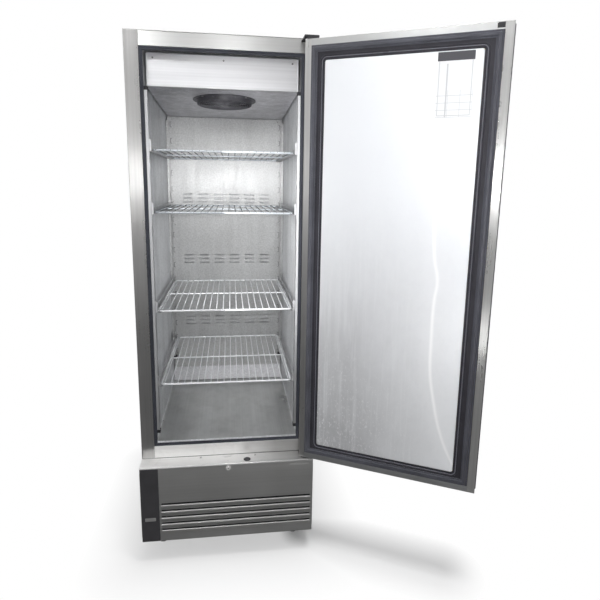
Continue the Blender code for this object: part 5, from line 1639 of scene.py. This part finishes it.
def castor_fork(corner, x, y, lead):
    """Crown, ball-race cup and two pressed cheeks, with the axle bolt."""
    axle_y = y + lead * 28
    body, node = f"castor_{corner}", f"castor_fork_{corner}"
    cup = [
        (6.2, 94), (17.5, 94), (20.5, 94.8), (21.5, 96.8), (20.5, 99.6), (6.2, 99.6)
    ]
    outline = [(x + dx, y + lead * dy) for dx, dy in
               ((-16.8, -18), (16.8, -18), (16.8, 22), (-16.8, 22))]
    crown = fillet(outline, 5, 4, closed=True)
    fork = merge(
        lathe(cup, 40, (x, y, 0)),
        plate(crown, "Z", 92.8, 95.4, 0.4, [round_loop(x, y, 6.6, 24)]),
    )
    cheek = [
        (y - lead * 18, 95), (y + lead * 22, 95), (axle_y + lead * 10, 60),
        (axle_y + lead * 11, AXLE_Z), (axle_y + lead * 5, 27.5), (axle_y - lead * 5, 27.5),
        (axle_y - lead * 11, 38), (y - lead * 8, 72), (y - lead * 18, 86),
    ]
    cheek = fillet(cheek, [2, 3, 12, 8, 5, 5, 10, 16, 4], 5, closed=True)
    for side in (-1, 1):
        merge(fork, prism(cheek, "X", x + side * 14.4, x + side * 16.9, 0.5, 2))
    replace(f"fork_{corner}", fork, ZINC, node, body)
    bolt = [
        (0, -19), (6.2, -19), (6.8, -18.4), (6.8, -17), (4, -17), (4, 17), (6.8, 17),
        (6.8, 19.5), (0, 19.5),
    ]
    bolt = lathe([(r, x + dx) for r, dx in bolt], 6, (0, axle_y, AXLE_Z), "X") if False else \
        lathe([(r, x + dx) for r, dx in bolt], 6, (0, axle_y, AXLE_Z), "X")
    build(f"axle_bolt_{corner}", bolt, SCREW, node, body, 30)


TREAD = [  # (radius, offset from the wheel's middle)
    (26.5, -10.5), (31, -11.6), (34.2, -11.2), (36.6, -9), (37.4, -5), (37.5, 0),
    (37.4, 5), (36.6, 9), (34.2, 11.2), (31, 11.6), (26.5, 10.5),
]
HUB = [
    (5.2, -11.5), (11, -11.8), (12, -10.8), (13, -7.5), (22, -6.5), (25.5, -10.8),
    (27, -10.6), (27, 10.6), (25.5, 10.8), (22, 6.5), (13, 7.5), (12, 10.8), (11, 11.8),
    (5.2, 11.5),
]


def castor_wheel(corner, x, axle_y):
    body, node = f"wheel_{corner}", f"castor_wheel_{corner}"
    centre = (0, axle_y, AXLE_Z)
    tread = lathe([(r, x + dx) for r, dx in TREAD], 64, centre, "X")
    replace(f"tread_{corner}", tread, RUBBER, node, body, smooth=50)
    hub = lathe([(r, x + dx) for r, dx in HUB], 56, centre, "X")
    ribs = []
    for i in range(8):
        turn = Matrix.Translation(centre) @ Matrix.Rotation(2 * math.pi * i / 8, 4, "X")
        ribs.append(move(block(x - 9.4, x + 9.4, -0.9, 0.9, 12, 25), turn))
    build(f"hub_{corner}", merge(hub, join(ribs)), GREY, node, body)


def brake_pedal(corner, x, y, lead):
    z = 84.5
    line = [(-5, 1), (8, 2.6), (28, 0.2), (39, -2.4)]
    line = [(y + lead * dy, z + dz) for dy, dz in line]
    pedal = fold(line, [0, 10, 10, 0], 4, 2.6, "X", x - 12, x + 12, side=lead, edge=0.6)
    for i in range(4):
        rib_y, drop = y + lead * (24 + 4 * i), 0.55 * i
        merge(pedal, block(
            x - 10, x + 10, rib_y - 0.8, rib_y + 0.8, z - 0.6 - drop, z + 1.4 - drop, 0.4, 1
        ))
    merge(
        pedal,
        tube([(x - 12.2, y, z - 0.5), (x + 12.2, y, z - 0.5)], 3.6, 16),
        block(x - 9, x + 9, y + lead * 6, y + lead * 13, z - 4.6, z + 1.5, 1.2, 2),
    )
    node = f"castor_brake_{corner}"
    replace(f"brake_pedal_{corner}", pedal, BLACK, node, f"brake_{corner}")


for corner, (x, y, lead) in CASTORS.items():
    castor_fork(corner, x, y, lead)
    castor_wheel(corner, x, y + lead * 28)
    if corner.startswith("front"):
        brake_pedal(corner, x, y + lead * 34, lead)

# ---- hinges ----
for word, outline, z0, z1, pin_low, pin_high in (
    ("top", [(284, -0.5), (284, -30), (306, -54), (336, -54), (346, -44), (346, -0.5)],
     2066, 2071, 2040, 2074.5),
    ("bottom", [(295, -0.8), (295, -40), (306, -60), (338, -60), (346, -50), (346, -0.8)],
     436.4, 439.8, 436.6, 464),
):
    node = f"{word}_hinge_bracket"
    outline = fillet(outline, [0.5, 6, 8, 8, 6, 0.5], 5, closed=True)
    bracket = prism(outline, "Z", z0, z1, 0.7, 2)
    pin = [(0, pin_low), (4.2, pin_low), (4.9, pin_low + 1.2)]
    if word == "top":
        merge(
            bracket,
            block(288, 345, -3.6, -0.5, 2067, 2078, 0.6, 2),
            block(289, 343, -50, -3.9, 2070.6, 2080.4, 2.6, 4),
        )
        pin += [
            (4.9, z1), (8.2, z1 + 0.2), (8.2, z1 + 2.6), (6.4, z1 + 3.6), (0, z1 + 3.8)
        ]
    else:
        pin += [(4.9, pin_high - 3.5), (0, pin_high - 3.5)]
    replace(f"{word}_hinge_plate", bracket, BLACK, node)
    build(f"{word}_hinge_pin", lathe(pin, 28, (HINGE_X, HINGE_Y, 0)), SCREW, node)
spots = [(306, -17, 438.4), (336, -17, 438.4)]
screws("hinge_screws", "bottom_hinge_bracket", spots, "Z", 1, radius=3.8, height=2)

# ---- door shell, drawn closed; its inner side is at the higher y ----
pan = cad_box("door_outer_pan")
handle = cad_box("door_handle_profile")
PAN = "door_outer_pan"
x0, x1, y0, y1, z0, z1 = pan
RIM_X0, RIM_X1, RIM_Z0, RIM_Z1 = -319.3, 323.3, 464.7, 2040.3  # inside of the rim strips
STEP_X, STEP_Y = -276.4, -40.4  # where the front skin steps back behind the grip profile
LUG = (-318.5, -294.5, 2044.5, 2061)
edge_x = handle.x0 + 0.7
step_x = STEP_X + 0.2
# front skin, folded round the hinge edge and back into the rim
skin = fold(
    [(STEP_X, y0 + 0.1), (x1, y0 + 0.1), (x1, y1 - 0.1), (RIM_X1 + 0.4, y1 - 0.1)],
    [0, 10, 2.2, 0], 8, SHEET, "Z", z0 + 1.6, z1 - 1.6,
)
replace("door_skin", skin, DOOR_SKIN, PAN, "door", smooth=28)
# sheet behind the grip profile, out to the free edge, and its return along the rim
free_edge = fold(
    [(step_x, y0 + 0.6), (step_x, STEP_Y), (edge_x, STEP_Y), (edge_x, y1 - 0.1),
     (RIM_X0 - 0.4, y1 - 0.1)],
    [0, 1.5, 1.6, 2.4, 0], 6, SHEET, "Z", z0 + 1.6, z1 - 1.6, side=-1,
)
build("door_free_edge", free_edge, FREE_RIM, PAN, "door", 28)
end_outline = fillet(
    [(edge_x, STEP_Y), (step_x, STEP_Y), (step_x, y0 + 0.3), (x1, y0 + 0.3), (x1, y1 - 0.2),
     (edge_x, y1 - 0.2)],
    [1.6, 0, 0, 10, 2, 2], 6, closed=True,
)
for word, z, out in (("top", z1, 1), ("bottom", z0, -1)):
    inner = z - out * SHEET
    hole = round_loop(HINGE_X, HINGE_Y, 7.6, 28)
    end = plate(end_outline, "Z", z, inner, 0.25, [hole])
    build(f"door_{word}_end", end, DOOR_RIM, PAN, "door")
    bush = [
        (5.4, inner - out * 7), (9.2, inner - out * 7), (9.2, z), (10.8, z),
        (10.8, z + out * 0.9), (5.4, z + out * 0.9),
    ]
    bush = lathe(bush, 32, (HINGE_X, HINGE_Y, 0))
    build(f"door_{word}_bush", bush, BLACK, PAN, "door")
# flat rim strips above and below the inner frame; the top one has the lug's window
strip_x = (RIM_X0 - 1.4, RIM_X1 + 1.4)
strip_y = (y1 - SHEET - 0.1, y1 - 0.1)
window = box_loop(*LUG, 1, 2)
outline = box_loop(*strip_x, RIM_Z1, z1 - 0.4, 0.6, 2)
build("door_rim_top", plate(outline, "Y", *strip_y, 0.2, [window]), RIM_TOP, PAN, "door")
outline = box_loop(*strip_x, z0 + 0.4, RIM_Z0, 0.6, 2)
build("door_rim_bottom", plate(outline, "Y", *strip_y, 0.2), RIM_FLAT, PAN, "door")
rim_return = ring_frame(
    RIM_X0 - 0.2, RIM_X1 + 0.2, RIM_Z0 - 0.2, RIM_Z1 + 0.2,
    [(0, y1 - 0.2), (1, y1 - 0.2), (1, y1 - 9), (0, y1 - 9)],
)
build("door_rim_return", rim_return, DOOR_RIM, PAN, "door")
dress("door_insulation", FOAM)

# ---- door inner frame and gasket ----
OPENING = (-264, 271, 509, 1988)


def around_opening(margin):
    x0, x1, z0, z1 = OPENING
    return x0 - margin, x1 + margin, z0 - margin, z1 + margin


inner_frame = cad_box("door_inner_frame")
# a flat, and a moulding that slopes in to the panel
outline = box_loop(inner_frame.x0, inner_frame.x1, inner_frame.z0, 2040, 1, 2)
hole = box_loop(*around_opening(16), 22, 6)
profile = [
    (0, -13.5), (0, -9.9), (0.8, -8.7), (2.6, -7.9), (4.4, -8.7), (5.4, -10.2),
    (13.6, -9.8), (15.4, -9), (17, -9.4), (18, -11.2), (18, -13.5),
]
moulding = merge(
    plate(outline, "Y", -12.5, -9.6, 0.4, [hole]),
    ring_frame(*around_opening(18), profile, 24, 6),
)
# the bead's lighter plastic is a painted highlight along the ridge
loop = box_loop(*around_opening(9.5), 16, 6)
bead = tube([(x, -9, z) for x, z in loop], 1.5, 8, closed=True)
build("door_frame_bead", bead, BEAD, "door_inner_frame", "door", 60)
replace(
    "door_moulded_frame", moulding, FRAME_PLASTIC, "door_inner_frame", "door", smooth=22
)
x0, x1, z0, z1 = LUG
lug = merge(
    block(x0 + 0.3, x1 - 0.3, -20, -9.2, z0 + 0.3, z1 - 0.3, 0.6, 2),
    block(x0 + 3, x1 - 3, -9.6, -8.4, z0 + 3, z1 - 3, 0.5, 2),
)
build("door_corner_lug", lug, BLACK, "door_inner_frame", "door")

# gasket: outer lip, folded bellows and the magnet bead, mitred and welded at the corners
x0, x1, y0, _, z0, z1 = cad_box("door_gasket")
profile = [
    (0.4, 0.1), (0.2, 2.2), (1.6, 3), (4.6, 1.7), (6.4, 2.4), (7.4, 4.2), (8.2, 6.3),
    (10.2, 7.2), (13.6, 7.4), (16.4, 6.8), (17.6, 5.4), (18.2, 3.2), (19.4, 1.9),
    (21.4, 1.5), (23, 2.5), (24, 1.6), (23.6, 0.1),
]
profile = [(inset, y0 + dy) for inset, dy in profile]
gasket = ring_frame(x0, x1, z0, z1, profile)
replace("door_seal", gasket, GASKET, "door_gasket", "door", smooth=42)
welds = join(
    tube([(x + in_x * a, y + 0.1, z + in_z * a) for a, y in profile[3:14]], 0.45, 5)
    for x, z, in_x, in_z in ((x0, z0, 1, 1), (x1, z0, -1, 1), (x1, z1, -1, -1), (x0, z1, 1, -1))
)
build("door_seal_welds", welds, GASKET, "door_gasket", "door", 60)

# ---- pale inner panel ----
panel_face = panel_box.y0 + 6.1


def panel_wave(u, w):
    """Height of the shallow waves at a share u across and w up; nil at the sheet's edge."""
    edge = max(0.0, min(1.0, min(u, 1 - u, w, 1 - w) * 7))
    edge = edge * edge * (3 - 2 * edge)
    height = 0.3 * math.sin(1.7 * math.pi * w + 0.6) * math.sin(math.pi * u)
    height += 0.18 * math.sin(3.1 * math.pi * w + 2.2 * u + 1.1)
    height += 0.1 * math.sin(5.3 * math.pi * u + 1.9 * w)
    # a soft crease that drifts towards the free edge as it falls
    crease = 0.3 - 0.12 * (1 - w) ** 2
    height += 0.4 * math.exp(-((u - crease) / 0.035) ** 2)
    return edge * height * 0.9


def pale_panel():
    """A shallow pressed sheet with rounded corners and a finely gridded, wavy face."""
    x0, x1, y0, _, z0, z1 = panel_box
    mesh = bmesh.new()
    rings = []
    for inset, y in ((0, y0 + 1), (0.2, y0 + 4.4), (1.6, y0 + 5.7), (4, panel_face)):
        radius = max(1.5, 8 - inset)
        loop = box_loop(x0 + inset, x1 - inset, z0 + inset, z1 - inset, radius, 7)
        rings.append([mesh.verts.new((x, y, z)) for x, z in loop])
    for ring_a, ring_b in zip(rings, rings[1:]):
        bridge(mesh, ring_a, ring_b)
    mesh.faces.new(rings[0])
    columns, rows = 40, 96
    band = 16  # from the sheet's edge to the grid
    x0, x1, z0, z1 = x0 + band, x1 - band, z0 + band, z1 - band
    grid = []
    for k in range(rows + 1):
        z = z0 + (z1 - z0) * k / rows
        line = []
        for i in range(columns + 1):
            x = x0 + (x1 - x0) * i / columns
            y = panel_face + panel_wave((x - x0) / (x1 - x0), (z - z0) / (z1 - z0))
            line.append(mesh.verts.new((x, y, z)))
        grid.append(line)
    for low, high in zip(grid, grid[1:]):
        for i in range(columns):
            mesh.faces.new((low[i], low[i + 1], high[i + 1], high[i]))
    border = grid[0] + [line[-1] for line in grid[1:]]
    border += grid[-1][-2::-1] + [line[0] for line in grid[-2:0:-1]]
    edges = [
        mesh.edges.get(pair)
        for ring in (border, rings[-1]) for pair in zip(ring, ring[1:] + ring[:1])
    ]
    bmesh.ops.triangle_fill(mesh, use_beauty=True, use_dissolve=False, edges=edges)
    return mesh


replace("door_pale_panel", pale_panel(), DOOR_PANEL, "door_inner_panel", "door", smooth=30)

LABEL = (-236, -119, 1778, 1984)
label = plate(box_loop(*LABEL, 2, 3), "Y", panel_face + 0.1, panel_face + 0.55, 0.12)
label_look = data_plate_look(*LABEL, header_height=28)
build("blank_data_plate", label, label_look, "door_inner_panel", "door")

# ---- full-height grip profile on the outer free edge, with its finger groove ----
x0, x1, y0, y1, z0, z1 = handle
GROOVE_X0, GROOVE_X1 = -318, -292
grip = fold(
    [(x1, y1 - 0.3), (x1, y0), (GROOVE_X1, y0), (GROOVE_X1, y0 + 17),
     (GROOVE_X1 - 4, y0 + 21), (GROOVE_X0 + 4, y0 + 21), (GROOVE_X0, y0 + 17),
     (GROOVE_X0, y0), (x0, y0), (x0, y1 - 0.3)],
    [0, 3, 3.5, 4, 4, 4, 4, 3.5, 8, 0], 6, 2.2, "Z", z0 + 2.4, z1 - 2.4,
)
replace("door_grip", grip, GRIP, "door_handle_profile", "door", smooth=32)
outline = fillet(
    [(x1, y1 - 0.4), (x1, y0), (GROOVE_X1, y0), (GROOVE_X1, y0 + 17), (GROOVE_X0, y0 + 17),
     (GROOVE_X0, y0), (x0, y0), (x0, y1 - 0.4)],
    [0.5, 3, 3.5, 4, 4, 3.5, 8, 0.5], 5, closed=True,
)
caps = join(prism(outline, "Z", a, b, 0.5, 2) for a, b in ((z0, z0 + 2.5), (z1 - 2.5, z1)))
build("door_grip_caps", caps, BLACK, "door_handle_profile", "door")

# ---- floor ----
FLOOR_HALF = 30  # metres
FLOOR_GREY = 0.72  # what the camera sees near the object
FLOOR_BOUNCE = 0.42  # what lights the object


def floor_look():
    """Grey near the object, for the shadows, running out into the backdrop's white."""
    mat = Look("pale_floor")
    camera_ray = mat.node("LightPath", out="Is Camera Ray")
    tone = mat.noise(2, detail=3, rough=0.5)
    x, y, _ = mat.xyz(mat.coord)

    def span(a, b):
        return mat.math("SQRT", mat.plus(mat.times(a, a), mat.times(b, b)))

    def beyond(distance, half):
        return mat.math("MAXIMUM", mat.minus(mat.math("ABSOLUTE", distance), half), 0)

    # distance from the cabinet's footprint
    near_box = span(beyond(x, 0.35), beyond(mat.minus(y, 0.34), 0.41))
    # distance from the line of the open door's leaf
    leaf_x, leaf_y = -math.cos(OPEN), -math.sin(OPEN)
    from_x, from_y = mat.minus(x, HINGE_X_M), mat.minus(y, HINGE_Y_M + 0.09)
    along = mat.plus(mat.times(from_x, leaf_x), mat.times(from_y, leaf_y))
    along = mat.math("MINIMUM", mat.math("MAXIMUM", along, 0), 0.6)
    near_door = span(
        mat.minus(from_x, mat.times(along, leaf_x)), mat.minus(from_y, mat.times(along, leaf_y))
    )
    seen = mat.mix(mat.fit(tone, 0.3, 0.7), (FLOOR_GREY,) * 3, (FLOOR_GREY * 1.01,) * 3)
    diffuse = mat.node("BsdfDiffuse", Color=mat.mix(camera_ray, (FLOOR_BOUNCE,) * 3, seen))
    away = mat.math(
        "MINIMUM", mat.fit(near_box, 0, 0.26, 0.45, 1), mat.fit(near_door, 0.03, 0.19)
    )
    away = mat.times(away, camera_ray, clamp=True)
    both = mat.node("MixShader", i0=away, i1=diffuse, i2=mat.node("Emission"))
    mat.put(mat.tree.nodes["Material Output"].inputs["Surface"], both)
    return mat.material


ground = bpy.data.meshes.new("floor_sheet")
corners = [(-1, -1), (1, -1), (1, 1), (-1, 1)]
corners = [(x * FLOOR_HALF, y * FLOOR_HALF, FLOOR) for x, y in corners]
ground.from_pydata(corners, [], [(0, 1, 2, 3)])
floor = bpy.data.objects.new("floor_sheet", ground)
SCENE.collection.objects.link(floor)
ground.materials.append(floor_look())
floor.visible_glossy = False

# ---- world ----
AMBIENT = 0.36  # strength of the even light on matt surfaces
SIDE_GAIN = 1.15  # how much brighter reflections are towards the left
# What reflections see: (sine of the height above the horizon, brightness).
SKY = [
    (-1, 0.1), (-0.5, 0.13), (-0.35, 0.12), (-0.24, 0.17), (-0.12, 0.3), (0, 0.6),
    (0.25, 0.68), (1, 0.75),
]


def light_world():
    """White to the camera, even to matt surfaces, and graded to reflections."""
    world = bpy.data.worlds.new("studio")
    SCENE.world = world
    world.use_nodes = True
    nodes = Nodes(world.node_tree)
    nodes.tree.nodes.clear()
    output = nodes.tree.nodes.new("ShaderNodeOutputWorld")
    ray = nodes.node("LightPath").node.outputs
    x, _, z = nodes.xyz(nodes.node("TexCoord", out="Generated"))
    sky = nodes.node("ValToRGB", i0=nodes.fit(z, -1, 1))
    ramp = sky.node.color_ramp
    for height, _ in SKY[1:-1]:
        ramp.elements.new((height + 1) / 2)
    for element, (height, value) in zip(ramp.elements, SKY):
        element.position = (height + 1) / 2
        element.color = (value, value, value * 1.01, 1)
    gain = nodes.fit(x, 0.35, -0.75, 1, SIDE_GAIN)
    glossy = nodes.node("Background", Color=nodes.shaded(sky, gain))
    soft = nodes.node("Background", Color=(1, 1, 1.01), Strength=AMBIENT)
    seen = nodes.node("Background", Color=(1, 1, 1), Strength=1)
    unseen = nodes.node("MixShader", i0=ray["Is Glossy Ray"], i1=soft, i2=glossy)
    mixed = nodes.node("MixShader", i0=ray["Is Camera Ray"], i1=unseen, i2=seen)
    nodes.put(output.inputs[0], mixed)


light_world()

# ---- lights ----
MATT_ONLY = dict(glossy=False)
LIGHTS = [  # name, place, aim, size, power in watts, options
    ("flash", (0.05, -2.1, 1.6 + FLOOR), (0.02, 0.2, 1.47 + FLOOR), (0.1, 0.06), 6.5, {}),
    ("flash_soft", (0.08, -2.05, 1.64 + FLOOR), (0.05, 0.2, 1.3 + FLOOR), (0.1, 0.07), 12,
     MATT_ONLY),
    ("inside_fill", (0, 0.03, 1.37 + FLOOR), (0.6, 0.85, 1.37 + FLOOR), (0.5, 0.8), 3.2,
     MATT_ONLY),
    ("door_fill", (-0.2, -2.3, 2), (0.75, -0.25, 1.75), (0.3, 0.3), 3,
     dict(glossy=False, spread=70)),
    ("ceiling_left", (-0.75, -2.2, 3), (-0.3, 0, 1.87), (0.2, 0.3), 3,
     dict(spread=120, diffuse=False)),
    ("overhead", (0.2, -0.9, 3.6), (0.15, 0.1, 0.6), (3.2, 2.2), 34, MATT_ONLY),
    ("overhead_small", (0.45, 0, 3.6), (0.45, 0, 0), (0.45, 0.45), 13, MATT_ONLY),
    ("low_glow", (0.35, -1.2, 0.78 + FLOOR), (0.85, -0.33, 1.06 + FLOOR), (0.1, 0.16), 0.27,
     dict(spread=120, diffuse=False)),
    ("left_fill", (-2.8, -1.6, 1.7), (0.2, 0, 0.9), (1.6, 2), 14, MATT_ONLY),
    ("rear_fill", (0.6, 3.2, 2.4), (0, 0.4, 0.9), (2.6, 1.8), 40, MATT_ONLY),
    ("floor_lamp", (0.6, -0.95, 3.4), (0.6, -0.15, FLOOR), (0.5, 0.5), 36, {}),
]


def area_light(name, at, aim, size, power, glossy=True, spread=180, diffuse=True):
    light = bpy.data.lights.new(name, "AREA")
    light.shape = "RECTANGLE"
    light.size, light.size_y = size
    light.energy = power
    light.spread = math.radians(spread)
    obj = bpy.data.objects.new(name, light)
    obj.location = at
    obj.rotation_euler = (Vector(aim) - Vector(at)).to_track_quat("-Z", "Y").to_euler()
    obj.visible_glossy = glossy
    obj.visible_diffuse = diffuse
    obj.visible_camera = False
    SCENE.collection.objects.link(obj)
    return obj


lamps = {row[0]: area_light(*row[:-1], **row[-1]) for row in LIGHTS}
# this lamp lights only the floor, so the door's leaf above it casts a soft shadow there
only_floor = bpy.data.collections.new("floor_only")
only_floor.objects.link(floor)
lamps["floor_lamp"].light_linking.receiver_collection = only_floor

# ---- camera ----
right = Vector((0.99098777, -0.13308875, 0.01518617))
up = Vector((0.00986716, 0.18558917, 0.98257788))
ahead = Vector((0.13358846, 0.97357282, -0.1852298))
turn = Matrix((right, up, -ahead)).transposed().to_4x4()
lens = bpy.data.cameras.new("camera")
camera = bpy.data.objects.new("camera", lens)
SCENE.collection.objects.link(camera)
camera.matrix_world = Matrix.Translation((0.019787, -1.959589, 1.551451 + FLOOR)) @ turn
lens.sensor_width = 36
lens.lens = 30.2072
lens.shift_x = 0.001692
lens.shift_y = -0.03392
lens.clip_end = 200
SCENE.camera = camera
SCENE.view_settings.view_transform = "Standard"
SCENE.view_settings.look = "None"
